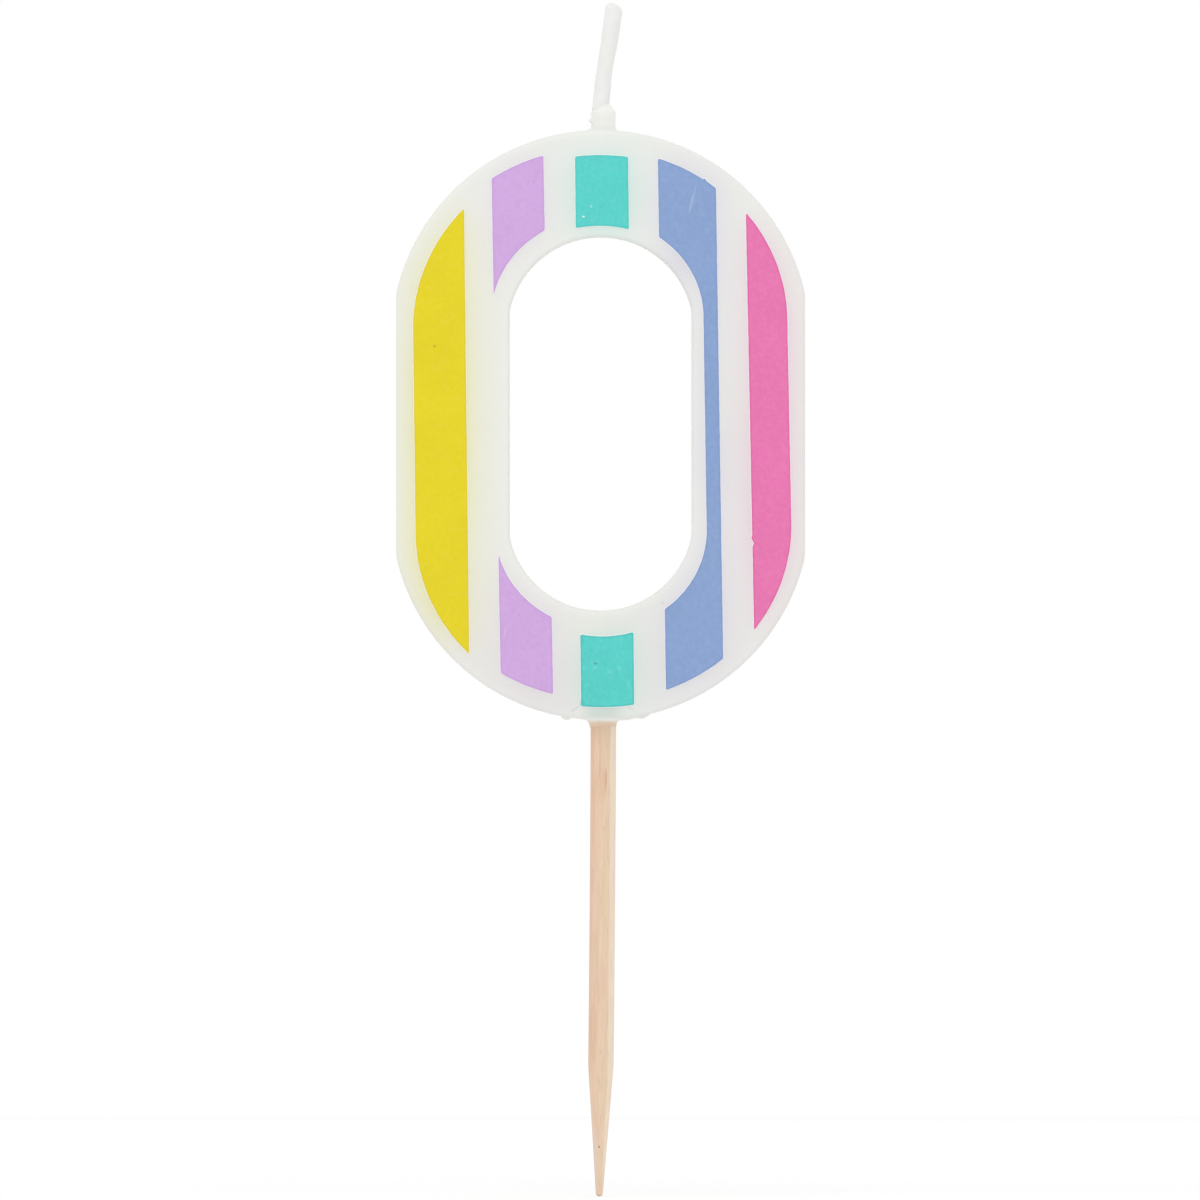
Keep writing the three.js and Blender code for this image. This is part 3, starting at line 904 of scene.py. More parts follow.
def store(mesh, name, values):
    """Keeps a number or a colour for each vertex as an attribute."""
    kind, field = ("FLOAT_COLOR", "color") if values.ndim == 2 else ("FLOAT", "value")
    mesh.attributes.new(name, kind, "POINT").data.foreach_set(field, values.ravel())


# %% Stripe meshes
UNDERPRINT = 0.07
ROW_DISTANCES = (0.04, 0.08, 0.13, 0.2, 0.32)
GRID_STEP = 0.42
INK_ROOT = 0.08
# Distance from the edge and height above the wax, in mm
INK_PROFILE = ((0.0, 0.0), (0.04, 0.045), (0.08, 0.066), (0.13, 0.09), (0.2, 0.097), (0.32, 0.09),
               (1.0, 0.086))


def stripe_points(outline):
    """Points for a stripe's face: the border, the rows just inside it, and a grid."""
    outward = normals_of(outline)
    border = outline + outward * UNDERPRINT
    groups = [border]
    for distance in ROW_DISTANCES:
        row = border - outward * distance
        # In a corner a row's points can come closer to the border than they should
        kept = distance_to(row, border) > distance * 0.97
        groups.append(row[kept & is_inside(row, border)])
    grid = grid_in(border, GRID_STEP)
    groups.append(grid[distance_to(grid, border) > ROW_DISTANCES[-1] + GRID_STEP * 0.4])
    return border, np.vstack(groups)


def stripe_body(name, outline, ink):
    border, flat = stripe_points(outline)
    count = len(border)
    made = delaunay_2d_cdt([Vector(point) for point in flat], [], [list(range(count))], 1, 1e-6)
    flat, triangles = np.array(made[0]), made[2]
    inset = distance_to(flat, border)
    inset[:count] = 0.0
    height = np.interp(inset, *zip(*INK_PROFILE))
    front = np.column_stack([flat[:, 0] * MM, FRONT_FACE - height * MM, flat[:, 1] * MM])
    back = front.copy()
    back[:, 1] = FRONT_FACE + INK_ROOT * MM
    total = len(front)
    faces = [tuple(face) for face in triangles]
    faces += [tuple(total + i for i in reversed(face)) for face in triangles]
    for first in range(count):
        second = (first + 1) % count
        faces.append((first, total + first, total + second, second))
    piece = linked_mesh(name, np.vstack([front, back]), faces, ink)
    piece.data.set_sharp_from_angle(angle=SHARP)
    store(piece.data, "inset", np.concatenate([inset, inset]))
    return piece


# %% [markdown]
# Printed stripes: their ink
#
# The ink is a thin satin skin. It is darker and richer in a hair's breadth along its edge, where it
# dried thickest, and the white base that it was printed on shows just outside. Inside, the colour
# drifts a little and carries the wax's faint unevenness. One shader group makes the edge and the
# drift for all five colours. Each stripe's material adds its own marks and the satin surface.

# %% Shader group: printed ink
def stored(tree, name, output="Fac"):
    """An attribute of the mesh."""
    return flow(tree, "ShaderNodeAttribute", output=output, attribute_name=name)


def ink_rule(tree, ink, rich_ink, base_white, drift, blotches, seed):
    inset = stored(tree, "inset")
    place = flow(tree, "ShaderNodeVectorMath",
                 {0: object_place(tree), 1: joined(tree, seed, 0.0, 0.0)})
    broad = place.mottle(170.0, 3.0)
    fine = place.mottle(1500.0, 4.0, 0.6)
    tone = (broad * 0.65 + fine * 0.35 - 0.5) * drift * 2.0 + 1.0
    rich = inset.fall(0.16, 0.34) * 0.75
    toned = tone.scaling(rich.blend(ink, rich_ink))
    blotch = place.mottle(2700.0, 1.5, 0.4)
    thin_ink = (blotch.ramp(0.48, 0.72) * blotches).blend(toned, base_white)
    thick_ink = (1.0 - blotch.fall(0.3, 0.5) * blotches).scaling(thin_ink)
    return {"Colour": inset.fall(0.05, 0.1).blend(thick_ink, base_white),
            "Roughness": fine * 0.16 + 0.36,
            "Height": broad * 0.5 + fine * 0.5}


INK = group("Printed ink", "ShaderNodeTree", ink_rule, ink=WAX_WHITE, rich_ink=WAX_WHITE,
            base_white=srgb(243, 243, 240), drift=0.09, blotches=0.03, seed=0.0)


def surface(tree, colour, roughness, height, bump_distance, bump_strength, **settings):
    """Ends a material in one Principled surface with a bump. Settings go onto its sockets."""
    bump = flow(tree, "ShaderNodeBump",
                {"Height": height, "Distance": bump_distance, "Strength": bump_strength})
    shader = add(tree, "ShaderNodeBsdfPrincipled",
                 {"Base Color": colour, "Roughness": roughness, "Normal": bump})
    for label, value in settings.items():
        shader.inputs[label.replace("_", " ")].default_value = value
    add(tree, "ShaderNodeOutputMaterial", {"Surface": shader.outputs[0]})


def ink_material(name, seed, ink, rich, blotches, marks):
    material = bpy.data.materials.new(name)
    tree = blank(material)
    printed = add(tree, "ShaderNodeGroup",
                  {"Ink": srgb(*ink), "Rich Ink": srgb(*rich), "Seed": seed, "Blotches": blotches},
                  node_tree=INK).outputs
    surface(tree, marked(tree, printed["Colour"], marks), printed["Roughness"], printed["Height"],
            0.03 * MM, 0.35, Specular_IOR_Level=0.35)
    return material


print("ink group nodes:", len(INK.nodes))

# %% Seven inks
# The ink, its richer edge, how much it blotches, and its marks
INKS = {
    "yellow_stripe": ((228, 210, 4), (226, 203, 30), 0.015, (
        (-16.88, 38.08, 0.16, 0.13, 0, 0.6, (168, 158, 30)),
        (-15.05, 41.02, 0.4, 0.1, 60, 0.15, (240, 230, 110)),
        (-15.76, 40.62, 0.3, 0.09, 40, 0.12, (240, 230, 110)))),
    "lilac_stripe_top": ((207, 167, 223), (201, 158, 220), 0.03, (
        (-6.76, 54.74, 0.12, 0.1, 0, 0.6, (184, 140, 205)),
        (-9.26, 51.89, 0.12, 0.1, 0, 0.5, (188, 146, 208)))),
    "lilac_stripe_bottom": ((207, 167, 223), (200, 157, 219), 0.03, (
        (-8.24, 10.80, 0.12, 0.1, 0, 0.5, (186, 142, 206)),
        (-7.38, 8.0, 0.12, 0.09, 0, 0.5, (188, 146, 208)),
        (-9.72, 9.02, 0.5, 0.07, 75, 0.4, (226, 200, 236)))),
    "turquoise_stripe_top": ((82, 209, 201), (74, 200, 192), 0.03, (
        (-1.74, 51.26, 0.14, 0.08, 0, 0.9, (236, 242, 238)),
        (-0.93, 52.3, 0.16, 0.07, 70, 0.6, (190, 236, 230)))),
    "turquoise_stripe_bottom": ((82, 207, 199), (70, 192, 184), 0.03, (
        (-0.51, 5.86, 0.17, 0.09, -10, 0.85, (48, 158, 152)),
        (-0.96, 7.12, 0.16, 0.22, 0, 0.4, (66, 186, 178)),
        (-1.19, 6.5, 0.2, 0.14, 30, 0.35, (66, 186, 178)),
        (-1.8, 8.15, 0.16, 0.3, 0, 0.35, (68, 188, 180)),
        (-0.57, 5.45, 0.24, 0.16, 20, 0.5, (122, 222, 214)),
        (1.88, 5.36, 0.2, 0.26, 10, 0.45, (122, 222, 214)),
        (0.95, 4.98, 0.24, 0.15, 20, 0.5, (120, 222, 214)),
        (-1.65, 5.4, 0.2, 0.26, 0, 0.4, (116, 220, 212)),
        (-1.5, 3.5, 0.22, 0.3, 0, 0.3, (112, 220, 212)),
        (2.8, 3.7, 0.2, 0.4, 0, 0.3, (116, 222, 214)),
        (-1.94, 1.81, 0.3, 0.25, 40, 0.5, (74, 186, 182)))),
    "blue_stripe": ((134, 161, 206), (128, 152, 203), 0.03, (
        (9.42, 53.3, 1.5, 0.07, 75, 0.4, (172, 190, 222)),
        (9.22, 52.6, 0.85, 0.15, 77, 0.38, (172, 190, 222)),
        (11.26, 27.81, 0.14, 0.1, 0, 0.5, (122, 146, 196)),
        (11.67, 18.67, 0.16, 0.08, 20, 0.5, (168, 188, 220)))),
    "pink_stripe": ((231, 115, 175), (226, 100, 165), 0.03, ()),
}
print("marks on the inks:", sum(len(marks) for *_, marks in INKS.values()))

# %% Print the stripes
for number, (node, outline) in enumerate(STRIPES.items(), 1):
    ink = ink_material(node.replace("stripe", "ink"), number / 10, *INKS[node])
    piece = stripe_body(node.replace("stripe", "print"), outline, ink)
    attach(piece, "root")
    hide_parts(node)
    print(piece.name, described(piece))


# %% [markdown]
# Wax: light from the ink
#
# Paraffin lets light in a little way. Beside each stripe it takes on the ink's colour and loses it
# again within three millimetres. That follows from distances that the shapes give exactly, so it is
# worked out for every vertex and stored as painted light in one colour attribute. A few broad, soft
# patches where the wax is made a little greyer or lighter go into the same attribute.

# %% Tints and soft patches
# The shares of red, green and blue that the wax right beside a long edge of each stripe loses
TINTS = {
    "yellow_stripe": (0.02, 0.05, 0.43),
    "lilac_stripe_top": (0.03, 0.07, 0.01),
    "lilac_stripe_bottom": (0.03, 0.07, 0.01),
    "turquoise_stripe_top": (0.27, 0.04, 0.08),
    "turquoise_stripe_bottom": (0.2, 0.04, 0.07),
    "blue_stripe": (0.09, 0.11, 0.01),
    "pink_stripe": (0.01, 0.17, 0.085),
}
# Right, up and radius in mm of each soft patch where the wax is made a little greyer or lighter,
# and the shares of light it loses
SOFT_PATCHES = (
    (7.8, 46.3, 2.6, (0.07, 0.085, 0.045)), (-0.2, 58.0, 2.6, (-0.045, -0.01, -0.025)),
    (-0.6, 8.8, 2.0, (-0.05, -0.018, 0.0)), (-6.1, 2.5, 3.6, (0.03, 0.042, 0.015)),
    (7.0, 2.8, 3.0, (0.02, 0.012, 0.0)))

# %% Store the tint on the casting
SCATTER_LENGTH = 1.2
TINT_DEPTH = 2.2
INK_GRID = 0.7


def scattered(points, outline):
    """Share of the light at each point that comes out of the ink: 1 beside a long edge."""
    reach = 6 * SCATTER_LENGTH
    near = ((points > outline.min(0) - reach) & (points < outline.max(0) + reach)).all(1)
    ink = grid_in(outline, INK_GRID)
    share = np.zeros(len(points))
    found = []
    for some in np.array_split(points[near], max(1, near.sum() // 500)):
        away = np.linalg.norm(some[:, None] - ink[None], axis=2)
        found.append(np.exp(-away / SCATTER_LENGTH).sum(1))
    share[near] = np.concatenate(found) * INK_GRID ** 2 / (math.pi * SCATTER_LENGTH ** 2)
    return share


mesh = zero.data
points = np.array([vertex.co for vertex in mesh.vertices]) / MM
x, y, z = points.T
flat = points[:, [0, 2]]
front_share = np.exp(-np.clip(y - FRONT_FACE / MM, 0, None) / TINT_DEPTH)
tint = np.ones((len(points), 4))
for label, outline in STRIPES.items():
    share = scattered(flat, outline) * front_share
    if label == "yellow_stripe":
        # Its thin ends give little light, the upper one on both sides and the lower one inwards
        share *= (np.interp(z, (35, 40, 50), (1, 0.75, 0.7))
                  - np.interp(z, (17, 22), (0.5, 0)) * np.interp(x, (-17, -14), (0, 1)))
    tint[:, :3] *= 1 - np.clip(share, 0, 1.2)[:, None] * np.array(TINTS[label])
# The soft patches make the wax a little greyer or lighter
for right, up, radius, losses in SOFT_PATCHES:
    away = np.hypot(x - right, z - up)
    tint[:, :3] *= 1 - (np.exp(-(away / radius) ** 2) * front_share)[:, None] * np.array(losses)
store(mesh, "ink_tint", tint)
print("tint range:", np.round(tint.min(0), 2), np.round(tint.max(0), 2))


# %% [markdown]
# Wax: painted edge light and thin places
#
# A rounded edge of wax is lit from two sides and glows, more in some places than in others, and
# that glow is painted light here: a lighter colour on the edges. Where the wax thinly covers the
# pick the wood shows through. Both are shares from 0 to 1, and both are stored for every vertex.

# %% Store painted rim light and thin wax on the casting
# Painted light: the wax's rounded edges are made lighter, fading over this reach in mm
PAINTED_RIM_LIGHT_REACH = 0.35
# How strongly painted light lightens the edges: the opening's on its left, low right and high
# right, and the outer edge in general and at the foot
PAINTED_RIM_LIGHT_SHARES = {"left": 0.8, "low right": 0.45, "high right": 0.05, "outer": 0.15, "foot": 0.8}
# Painted light along the gate, and how far it reaches to each side of the middle in mm
GATE_PAINTED_LIGHT_SHARE, GATE_REACH = 0.7, 5.5
# The collar's painted light on its left and its right
COLLAR_PAINTED_LIGHT_SHARES = (0.52, 0.9)


def round_ended(half_width, bottom, top, rise, steps=60):
    """The outline of the figure or its opening in mm, as the geometry group draws it."""
    half_width, bottom, top, rise = (size / MM for size in (half_width, bottom, top, rise))
    radius = (half_width ** 2 + rise ** 2) / (2 * rise)
    reach = math.asin(half_width / radius)
    middle, half_height = (top + bottom) / 2, (top - bottom) / 2
    end = [(radius * math.sin(a), half_height - radius + radius * math.cos(a))
           for a in np.linspace(reach, -reach, steps)]
    return np.array([(x, middle + z) for x, z in end] + [(-x, middle - z) for x, z in end])


wood = PICK_RADIUS / MM
from_axis = np.hypot(x - PICK_FOOT_X / MM - z * math.tan(PICK_LEAN), y)
low = np.interp(z, (-0.3, 0.25), (1, 0))
thin = np.interp(from_axis, (wood + 0.15, wood + 0.75), (1, 0)) * low * low * (3 - 2 * low)
store(mesh, "thin_wax", thin)

# Painted light: the outer edge, the opening's edge, the gate and the collar are made lighter
edges = (round_ended(FIGURE_HALF_WIDTH, FIGURE_BOTTOM, FIGURE_TOP, FIGURE_RISE),
         round_ended(FIGURE_HALF_WIDTH - LEG_WIDTH, OPENING_BOTTOM, OPENING_TOP, OPENING_RISE))
from_face = np.clip(FIGURE_THICKNESS / MM / 2 - np.abs(y), 0, None)
outer_painted_light, opening_painted_light = (np.exp(-(distance_to(flat, edge) + from_face) / PAINTED_RIM_LIGHT_REACH)
                            for edge in edges)
outer_share = np.interp(z, (4, 10), (PAINTED_RIM_LIGHT_SHARES["foot"], PAINTED_RIM_LIGHT_SHARES["outer"]))
right_share = np.interp(z, (18, 40), (PAINTED_RIM_LIGHT_SHARES["low right"], PAINTED_RIM_LIGHT_SHARES["high right"]))
on_right = np.interp(x, (-3, 3), (0, 1))
opening_share = PAINTED_RIM_LIGHT_SHARES["left"] * (1 - on_right) + right_share * on_right
gate_painted_light = np.interp(z, (0.2, 0.7), (GATE_PAINTED_LIGHT_SHARE, 0)) * (np.abs(x) < GATE_REACH)
above_crown = np.interp(z - FIGURE_TOP / MM, (0.1, 0.5), (0, 1))
collar_painted_light = above_crown * np.interp(x, (0.8, 1.4), COLLAR_PAINTED_LIGHT_SHARES)
rim = np.max([opening_painted_light * opening_share, outer_painted_light * outer_share, gate_painted_light, collar_painted_light], 0)
store(mesh, "rim", rim)
print("thin wax:", round(float(thin.max()), 2), "rim:", round(float(rim.max()), 2))

# %% [markdown]
# Wax: its surface
#
# Cast paraffin is milky white with a soft satin skin. Its rounded edges get painted light, so the
# body is a hair greyer than they are, and painted shade makes it a little darker towards the foot.
# Fine frosting and tiny pits break up the sheen. Light scatters in its skin, which a low subsurface
# weight with a radius below a millimetre gives. The weight stays low because the light that a
# stripe keeps out would otherwise leave a dark rim beside it.

# %% Wax material
# Painted light for the wax's rounded edges
PAINTED_RIM_LIGHT_WHITE = srgb(247, 248, 244)
# Painted shade where the pick's end stands inside the foot
BURIED_PICK_PAINTED_SHADE = srgb(192, 202, 194)
WOOD_UNDER_WAX = srgb(233, 207, 180)

tree = blank(wax)
place = object_place(tree)
x, y, z = place.parts()
frost = place.mottle(900.0, 5.0, 0.62)
pits = flow(tree, "ShaderNodeTexVoronoi", {"Vector": place, "Scale": 420.0}, "Distance")
tone = (place.mottle(60.0, 3.0) - 0.5) * 0.05 + (frost - 0.5) * 0.03 + 1.0
# Painted shade darkens the wax towards the foot, and painted light lightens its rounded edges
milky_with_foot_shade = tone.scaling(z.ramp(3 * MM, 20 * MM).blend(WAX_FOOT_PAINTED_SHADE, WAX_WHITE))
with_painted_rim_light = (stored(tree, "rim") * 0.75).blend(milky_with_foot_shade, PAINTED_RIM_LIGHT_WHITE)
tinted = flow(tree, "ShaderNodeVectorMath", {0: with_painted_rim_light, 1: stored(tree, "ink_tint", "Color")},
              operation="MULTIPLY")
# The pick's end stands inside the foot, and its shade through the wax is painted as a soft grey
off_pick = (x - z * math.tan(PICK_LEAN) - PICK_FOOT_X).maths("ABSOLUTE")
upright = z.ramp(0.05 * MM, 0.6 * MM) * z.fall(2.4 * MM, 4.0 * MM)
buried_pick_shade = off_pick.fall(0.6 * MM, 2.7 * MM) * upright * y.fall(-4.4 * MM, -3.0 * MM)
shaded = (buried_pick_shade * 0.5).blend(tinted, BURIED_PICK_PAINTED_SHADE)
woody = ((frost - 0.5) * 0.3 + 1.0).scaling(WOOD_UNDER_WAX[:3])
colour = marked(tree, stored(tree, "thin_wax").blend(shaded, woody), [
    (6.29, 11.96, 0.16, 0.14, 0, 0.5, (206, 206, 202)),
    (-2.54, 1.28, 0.42, 0.07, 35, 0.5, (192, 194, 190)),
    (-2.86, 1.06, 0.16, 0.11, 35, 0.35, (196, 196, 192)),
    (3.0, 1.32, 0.27, 0.06, -45, 0.5, (194, 196, 192)),
    (3.32, 1.22, 0.14, 0.05, -50, 0.35, (200, 200, 196)),
])
surface(tree, colour, frost * 0.18 + 0.38, frost - pits.fall(0.03, 0.12) * 0.6, 0.05 * MM, 0.3,
        Subsurface_Weight=0.12, Subsurface_Radius=(1.0, 0.85, 0.7), Subsurface_Scale=0.6 * MM,
        Specular_IOR_Level=0.4)
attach(zero, "root")
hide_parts("wax_body")
print("wax nodes:", len(tree.nodes))


# %% [markdown]
# The pick
#
# A birch stick is drawn through a round die and its end is turned to a blunt point. Its diameter at
# each height is a rule, so Geometry Nodes make it from a plain cylinder: rows get closer towards
# the point, the radius follows the shaft, the cone and the small round at the end, and a slight bow
# bends the whole. The fibres are cut as shallow grooves by noise that is stretched along the stick.

# %% Geometry rule: turned stick
GROOVE_SQUASH = 0.035


def unit_rod(tree, sides, rings, ends):
    """A cylinder of radius 1 and height 1, and the place of its points for a rule to bend."""
    rod = flow(tree, "GeometryNodeMeshCylinder", {
        "Vertices": sides, "Side Segments": rings, "Radius": 1.0, "Depth": 1.0}, fill_type=ends)
    return rod, *point_place(tree).parts()


def stick_rule(tree, top, length, radius, taper_length, tip_radius, tip_round, shoulder, offset,
               slope, bow, groove_depth, sides, rings):
    rod, x, y, z = unit_rod(tree, sides, rings, "NGON")
    rise = (z + 0.5).maths("MAXIMUM", 0.0).maths("POWER", 1.5) * length
    cone = tip_radius + rise * ((radius - tip_radius) / taper_length)
    shaft = cone.maths("SMOOTH_MIN", radius, shoulder)
    low = tip_round - rise.maths("MINIMUM", tip_round)
    smooth_radius = shaft - tip_round + (tip_round * tip_round - low * low).maths("SQRT")
    grain_place = joined(tree, x * radius, y * radius, rise * GROOVE_SQUASH)
    fibre = grain_place.mottle(5200.0, 3.0, 0.6)
    pore = grain_place.mottle(9000.0, 1.0).fall(0.3, 0.36)
    grooved = smooth_radius - ((1.0 - fibre) * 0.55 + pore * 0.45) * groove_depth
    height = top - length + rise
    bend = (rise / length * math.pi).maths("SINE") * bow
    centre = offset + height * slope + bend
    return moved(tree, rod, "Position",
                 joined(tree, centre + x * grooved, y * grooved, height))


# %% Turn the pick
TAPER_LENGTH = 13.3 * MM
TIP_RADIUS = 0.35 * MM

birch = bpy.data.materials.new("birch")
pick = grown(
    "turned_pick", stick_rule, top=8.0 * MM, length=56.33 * MM, radius=PICK_RADIUS,
    taper_length=TAPER_LENGTH, tip_radius=TIP_RADIUS, tip_round=0.26 * MM, shoulder=0.1 * MM,
    offset=PICK_FOOT_X, slope=math.tan(PICK_LEAN), bow=0.08 * MM, groove_depth=0.022 * MM,
    sides=96, rings=420, material=birch)
pick.data.set_sharp_from_angle(angle=SHARP)
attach(pick, "root")
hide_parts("pick")
print("pick:", described(pick))

# %% [markdown]
# Birch
#
# Birch is pale and even. Close up it has long fibres a tenth of a millimetre wide, from pinkish to
# straw-coloured, with short dark pores between them, and a lighter strip of painted light runs down
# the right side of its front. The fibres, pores and tones are noise stretched along the stick, so
# the pattern is read at a squashed height.

# %% Birch material
FIBRE_SQUASH = 0.055
PORE_SQUASH = 0.09
FRONT_HALF = (-0.3 * MM, 0.0)
BIRCH_TONES = ((0.1, (228, 192, 168)), (0.5, (231, 204, 177)), (0.88, (229, 203, 170)))
# Painted light: a lighter strip down the right side of the pick's front half
RIGHT_SIDE_PAINTED_LIGHT = srgb(243, 225, 206)

tree = blank(birch)
x, y, z = object_place(tree).parts()
upright = x - z * math.tan(PICK_LEAN) - PICK_FOOT_X
lengthwise = joined(tree, upright, y, z * FIBRE_SQUASH)
fibre = lengthwise.mottle(4200.0, 4.0, 0.65)
strand = lengthwise.mottle(1700.0)
pore = joined(tree, upright, y, z * PORE_SQUASH).mottle(7500.0, 1.0).fall(0.27, 0.36)
hue = (upright / PICK_RADIUS) * 0.32 + (strand - 0.5) * 1.3 + 0.5
ramp = add(tree, "ShaderNodeValToRGB", {"Fac": hue})
ramp.color_ramp.elements.new(0.5)
for stop, (position, tone) in zip(ramp.color_ramp.elements, BIRCH_TONES):
    stop.position, stop.color = position, srgb(*tone)
# The painted light on the right side keeps its share of the width down to the point
girth = (z - cad_low.z) * ((PICK_RADIUS - TIP_RADIUS) / TAPER_LENGTH) + TIP_RADIUS
painted_side_light = (upright / girth.maths("MINIMUM", PICK_RADIUS)).ramp(0.45, 0.72)
with_side_light = (painted_side_light * y.fall(-0.5 * MM, 0.5 * MM) * 0.75).blend(ramp.outputs[0], RIGHT_SIDE_PAINTED_LIGHT)
tone = (fibre - 0.5) * 0.36 + 1.0 - pore * 0.08
colour = marked(tree, tone.scaling(with_side_light), [
    (-0.75, -32.0, 3.6, 0.32, 90, 0.3, (220, 172, 134)),
    (-0.1, -6.6, 1.6, 0.8, 90, 0.25, (220, 178, 142)),
    (-0.55, -44.5, 3.6, 0.3, 90, 0.4, (228, 212, 200)),
    (0.545, -5.9, 1.1, 0.07, 90, 0.6, (205, 150, 110)),
    (-0.156, -43.3, 0.12, 0.1, 90, 0.7, (140, 100, 78)),
    (-0.6, -22.0, 0.9, 0.05, 90, 0.3, (196, 150, 122)),
    (0.2, -31.0, 1.3, 0.05, 90, 0.25, (198, 156, 126)),
    (1.16, -1.9, 0.28, 0.08, 90, 0.6, (244, 226, 206)),
    (1.16, -3.1, 0.25, 0.1, 90, 0.6, (244, 226, 206)),
    (0.6, -1.6, 0.16, 0.07, 90, 0.5, (238, 214, 192)),
], FRONT_HALF)
surface(tree, colour, fibre * 0.2 + 0.55, fibre - pore * 0.5, 0.03 * MM, 0.5,
        Specular_IOR_Level=0.3)
print("birch nodes:", len(tree.nodes))


# %% [markdown]
# The wick
#
# The wick is a cotton braid that was primed by dipping: a skin of wax lies over it and lets only
# the plies' shape show, as low humps that spiral both ways. The dip left the tip full on the left
# and sloping on the right. It is stiff and short and stands by itself, so it is a solid stub rather
# than a free cord. The rule works on a cylinder again: two crossing spirals swell the radius, and
# the tip closes as a rounded end that leans over to one side. There the last ring shrinks to one
# point, so its vertices are merged into a true pole.

# %% Geometry rule: dipped wick
TIP_SQUARENESS = 3.4
# Pace of the soft lumps and of the sway along the wick, a metre
WAVES = 900.0
POLE_MERGE = 0.0001 * MM


def wick_rule(tree, foot, lean, seat, length, radius, hump, hump_length, tip_length, tip_slope,
              tip_swell, tip_shift, neck, upright, wander, sides, rings):
    rod, x, y, z = unit_rod(tree, sides, rings, "TRIANGLE_FAN")
    down = (0.5 - z).maths("MAXIMUM", 0.0).maths("POWER", 1.35)
    height = length - down * (length + seat)
    angle = y.maths("ARCTAN2", x)
    climb = height / hump_length * (2 * math.pi)
    one_way = (angle * 2.0 + climb).maths("SINE")
    other_way = (angle * 2.0 - climb).maths("SINE")
    humps = one_way.maths("SMOOTH_MAX", other_way, 0.6)
    soft = joined(tree, x, y, height * WAVES).mottle(1.1)
    to_tip = (height - length) / tip_length + 1.0
    close = 1.0 - to_tip.maths("MAXIMUM", 0.0).maths("POWER", TIP_SQUARENESS)
    close = close.maths("MAXIMUM", 0.0).maths("POWER", 1 / TIP_SQUARENESS)
    # A slimmer neck above the middle, and a fuller tip
    swell = (radius - neck * height.ramp(4.5 * MM, 6.2 * MM)
             + (neck + tip_swell) * height.ramp(6.8 * MM, 9.8 * MM))
    girth = (swell - (1.0 - humps) * hump - (1.0 - soft) * hump) * close
    slant = (x * close + 0.1).maths("SMOOTH_MAX", 0.0, 0.4)
    along = height - slant * to_tip.ramp(-1.0, 0.5) * tip_slope
    sway = (height * WAVES - 0.6).maths("SINE") * wander
    nod = height.ramp(length - 3.4 * MM, length - 0.8 * MM) * tip_shift
    across = x * girth + sway + nod
    sine, cosine = lean.maths("SINE"), lean.maths("COSINE")
    foot_x, _, foot_z = foot.parts()
    run = along.maths("SMOOTH_MAX", upright, 1.0 * MM)
    leaned = joined(tree, foot_x + run * sine + across * cosine, y * girth,
                    foot_z + along * cosine - across * sine)
    return flow(tree, "GeometryNodeMergeByDistance", {
        "Geometry": moved(tree, rod, "Position", leaned), "Distance": POLE_MERGE})


# %% Dip the wick
skin = bpy.data.materials.new("priming_wax")
coat = grown(
    "dipped_wick", wick_rule, foot=(-0.38 * MM, 0.0, FIGURE_TOP), lean=math.radians(7.8),
    seat=0.95 * MM, length=13.02 * MM, radius=0.86 * MM, hump=0.025 * MM, hump_length=2.6 * MM,
    tip_length=0.89 * MM, tip_slope=0.26 * MM, tip_swell=0.045 * MM, tip_shift=0.1 * MM,
    neck=0.04 * MM, upright=2.0 * MM, wander=0.05 * MM, sides=64, rings=260, material=skin)
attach(coat, "root")
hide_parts("wick_coat")
print("wick:", described(coat))

# %% [markdown]
# Priming wax
#
# The dipped skin is paraffin too, a touch cooler than the casting. It is cloudy where it lies
# thicker and finely frosted all over, so layers of noise set its tone, its sheen and its bump.

# %% Priming wax material
tree = blank(skin)
place = object_place(tree)
cloudy = place.mottle(500.0, 3.0)
frost = place.mottle(2600.0, 4.0, 0.6)
speck = place.mottle(1900.0, 1.0).fall(0.24, 0.3)
tone = (cloudy - 0.5) * 0.07 + (frost - 0.5) * 0.03 + 1.0 - speck * 0.05
surface(tree, tone.scaling(srgb(235, 236, 233)[:3]), frost * 0.2 + 0.4,
        cloudy * 0.6 + frost * 0.4, 0.03 * MM, 0.35,
        Subsurface_Weight=0.12, Subsurface_Radius=(1.0, 0.9, 0.8), Subsurface_Scale=0.5 * MM,
        Specular_IOR_Level=0.4)
print("priming wax nodes:", len(tree.nodes))


# %% [markdown]
# The hidden cotton
#
# Under its coat the wick is a braid of three cotton plies, and it runs on inside the wax, round the
# crown and down into the left leg. Nobody sees it before the candle burns, but it's a piece of its
# own. A braid is two waves: each ply swings from side to side once while it goes over and under
# twice, and the plies are a third of a repeat apart. So the tree lays three copies of the route,
# moves each by its waves, and sweeps a section with four yarns along it, which the curve's tilt
# twists.

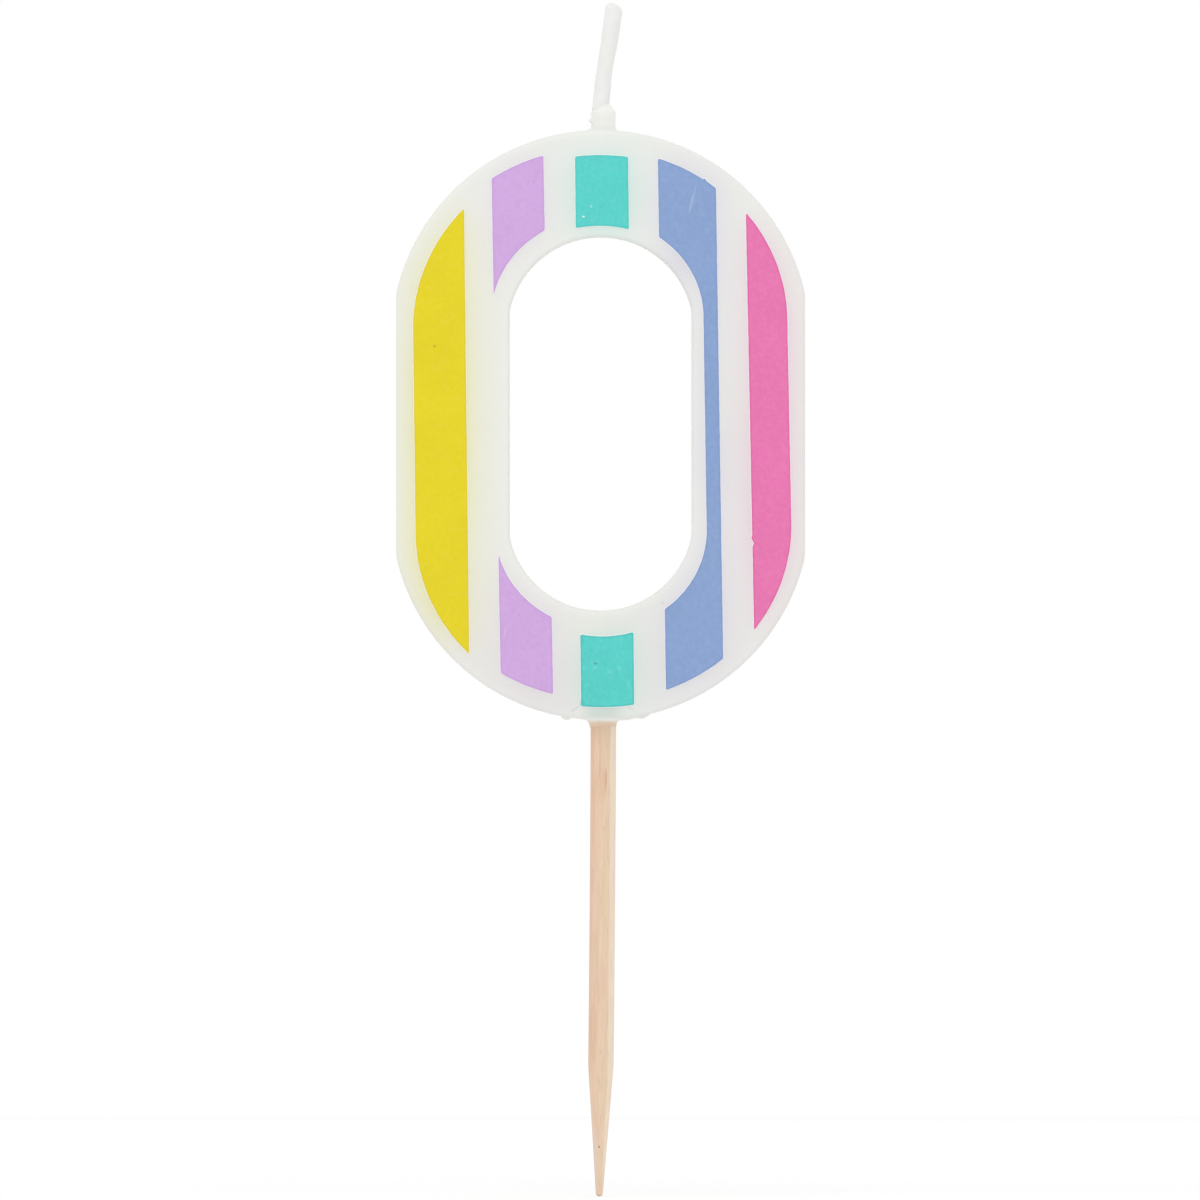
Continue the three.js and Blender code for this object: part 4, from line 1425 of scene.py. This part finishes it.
# %% Geometry rule: three-ply braid
def braid_rule(tree, route, plies, steps, repeat, half_width, half_depth, ply_radius, yarns,
               yarn_groove, twist_length, section_sides):
    line = flow(tree, "GeometryNodeMeshToCurve", {"Mesh": route})
    line = flow(tree, "GeometryNodeResampleCurve", {"Curve": line, "Count": steps})
    line, run = captured(tree, line, "Run", "FLOAT",
                         flow(tree, "GeometryNodeSplineParameter", output="Length"))
    line, heading = captured(tree, line, "Heading", "VECTOR",
                             flow(tree, "GeometryNodeInputTangent"))
    copies = add(tree, "GeometryNodeDuplicateElements", {"Geometry": line, "Amount": plies},
                 domain="SPLINE").outputs
    ply = Flow(tree, copies["Duplicate Index"])
    phase = (run / repeat + ply / plies) * (2 * math.pi)
    aside = phase.maths("SINE") * half_width
    over = (phase * 2.0).maths("SINE") * half_depth
    ahead_x, _, ahead_z = heading.parts()
    laid = moved(tree, copies["Geometry"], "Offset",
                 joined(tree, ahead_z * over * -1.0, aside, ahead_x * over))
    twisted = flow(tree, "GeometryNodeSetCurveTilt", {
        "Curve": laid, "Tilt": run / twist_length * (2 * math.pi)})

    ring = flow(tree, "GeometryNodeCurvePrimitiveCircle", {
        "Resolution": section_sides, "Radius": ply_radius})
    place = point_place(tree)
    x, y, _ = place.parts()
    lobe = (y.maths("ARCTAN2", x) * yarns * 0.5).maths("SINE").maths("ABSOLUTE")
    section = moved(tree, ring, "Position", (1.0 - (1.0 - lobe) * yarn_groove).scaling(place))
    return flow(tree, "GeometryNodeCurveToMesh", {
        "Curve": twisted, "Profile Curve": section, "Fill Caps": True})


# %% Lay the braid
CORE_X = -0.28 * MM
CORE_LEAN = math.radians(7.6)
CORE_TOP, CORE_SEAT = 72.4 * MM, 59.1 * MM
LEG_MIDDLE = LEG_WIDTH / 2 - FIGURE_HALF_WIDTH
CROWN_MIDDLE = (FIGURE_TOP + OPENING_TOP) / 2
LEG_RUN = 13.0 * MM
TURN = 4.0 * MM


def on_core(height):
    return np.array([CORE_X + (height - FIGURE_TOP) * math.tan(CORE_LEAN), 0.0, height])


def bend(start, corner, end, steps=40):
    """A bend from start to end that heads for the corner first."""
    return [(1 - t) ** 2 * start + 2 * t * (1 - t) * corner + t ** 2 * end
            for t in np.linspace(0, 1, steps)]


shoulder = np.array([LEG_MIDDLE, 0.0, FIGURE_TOP - FIGURE_RISE])
under_wick = on_core(CROWN_MIDDLE)
turn_start = under_wick - (TURN, 0.0, 0.0)
route = [shoulder - (0.0, 0.0, LEG_RUN)]
route += bend(shoulder, np.array([LEG_MIDDLE, 0.0, CROWN_MIDDLE]), turn_start)
route += bend(turn_start, under_wick, on_core(CORE_SEAT))[1:] + [on_core(CORE_TOP)]
route_mesh = bpy.data.meshes.new("wick_route")
route_mesh.from_pydata(route, [(i, i + 1) for i in range(len(route) - 1)], [])

cotton = bpy.data.materials.new("cotton_plies")
braid = grown(
    "cotton_braid", braid_rule, route=route_mesh, plies=3, steps=800, repeat=3.2 * MM,
    half_width=0.33 * MM, half_depth=0.225 * MM, ply_radius=0.19 * MM, yarns=4.0,
    yarn_groove=0.2, twist_length=2.6 * MM, section_sides=16, material=cotton)
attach(braid, "root")
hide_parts("wick_core")
print("braid:", described(braid))

# %% [markdown]
# Cotton
#
# Cotton yarn is matte and warm white. Its fibres are too fine to model one by one, so fast noise
# gives their fuzz and slow noise the thick and thin places of the yarn.

# %% Cotton material
tree = blank(cotton)
place = object_place(tree)
fuzz = place.mottle(9000.0, 4.0, 0.7)
slub = place.mottle(1200.0)
tone = (slub - 0.5) * 0.08 + (fuzz - 0.5) * 0.12 + 0.97
surface(tree, tone.scaling(srgb(242, 239, 230)[:3]), fuzz * 0.1 + 0.85, fuzz * 0.7 + slub * 0.3,
        0.03 * MM, 0.5, Specular_IOR_Level=0.2)
print("cotton nodes:", len(tree.nodes))

# %% [markdown]
# Sizes
#
# The dressed candle is meant to stay inside the box of its solids, so the last cell prints how far
# it reaches beyond that box on each side.

# %% Print the sizes
low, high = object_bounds()
print("beyond the CAD box in mm:",
      [round(max(c - v, 0) / MM, 3) for c, v in zip(cad_low, low)],
      [round(max(v - c, 0) / MM, 3) for c, v in zip(cad_high, high)])
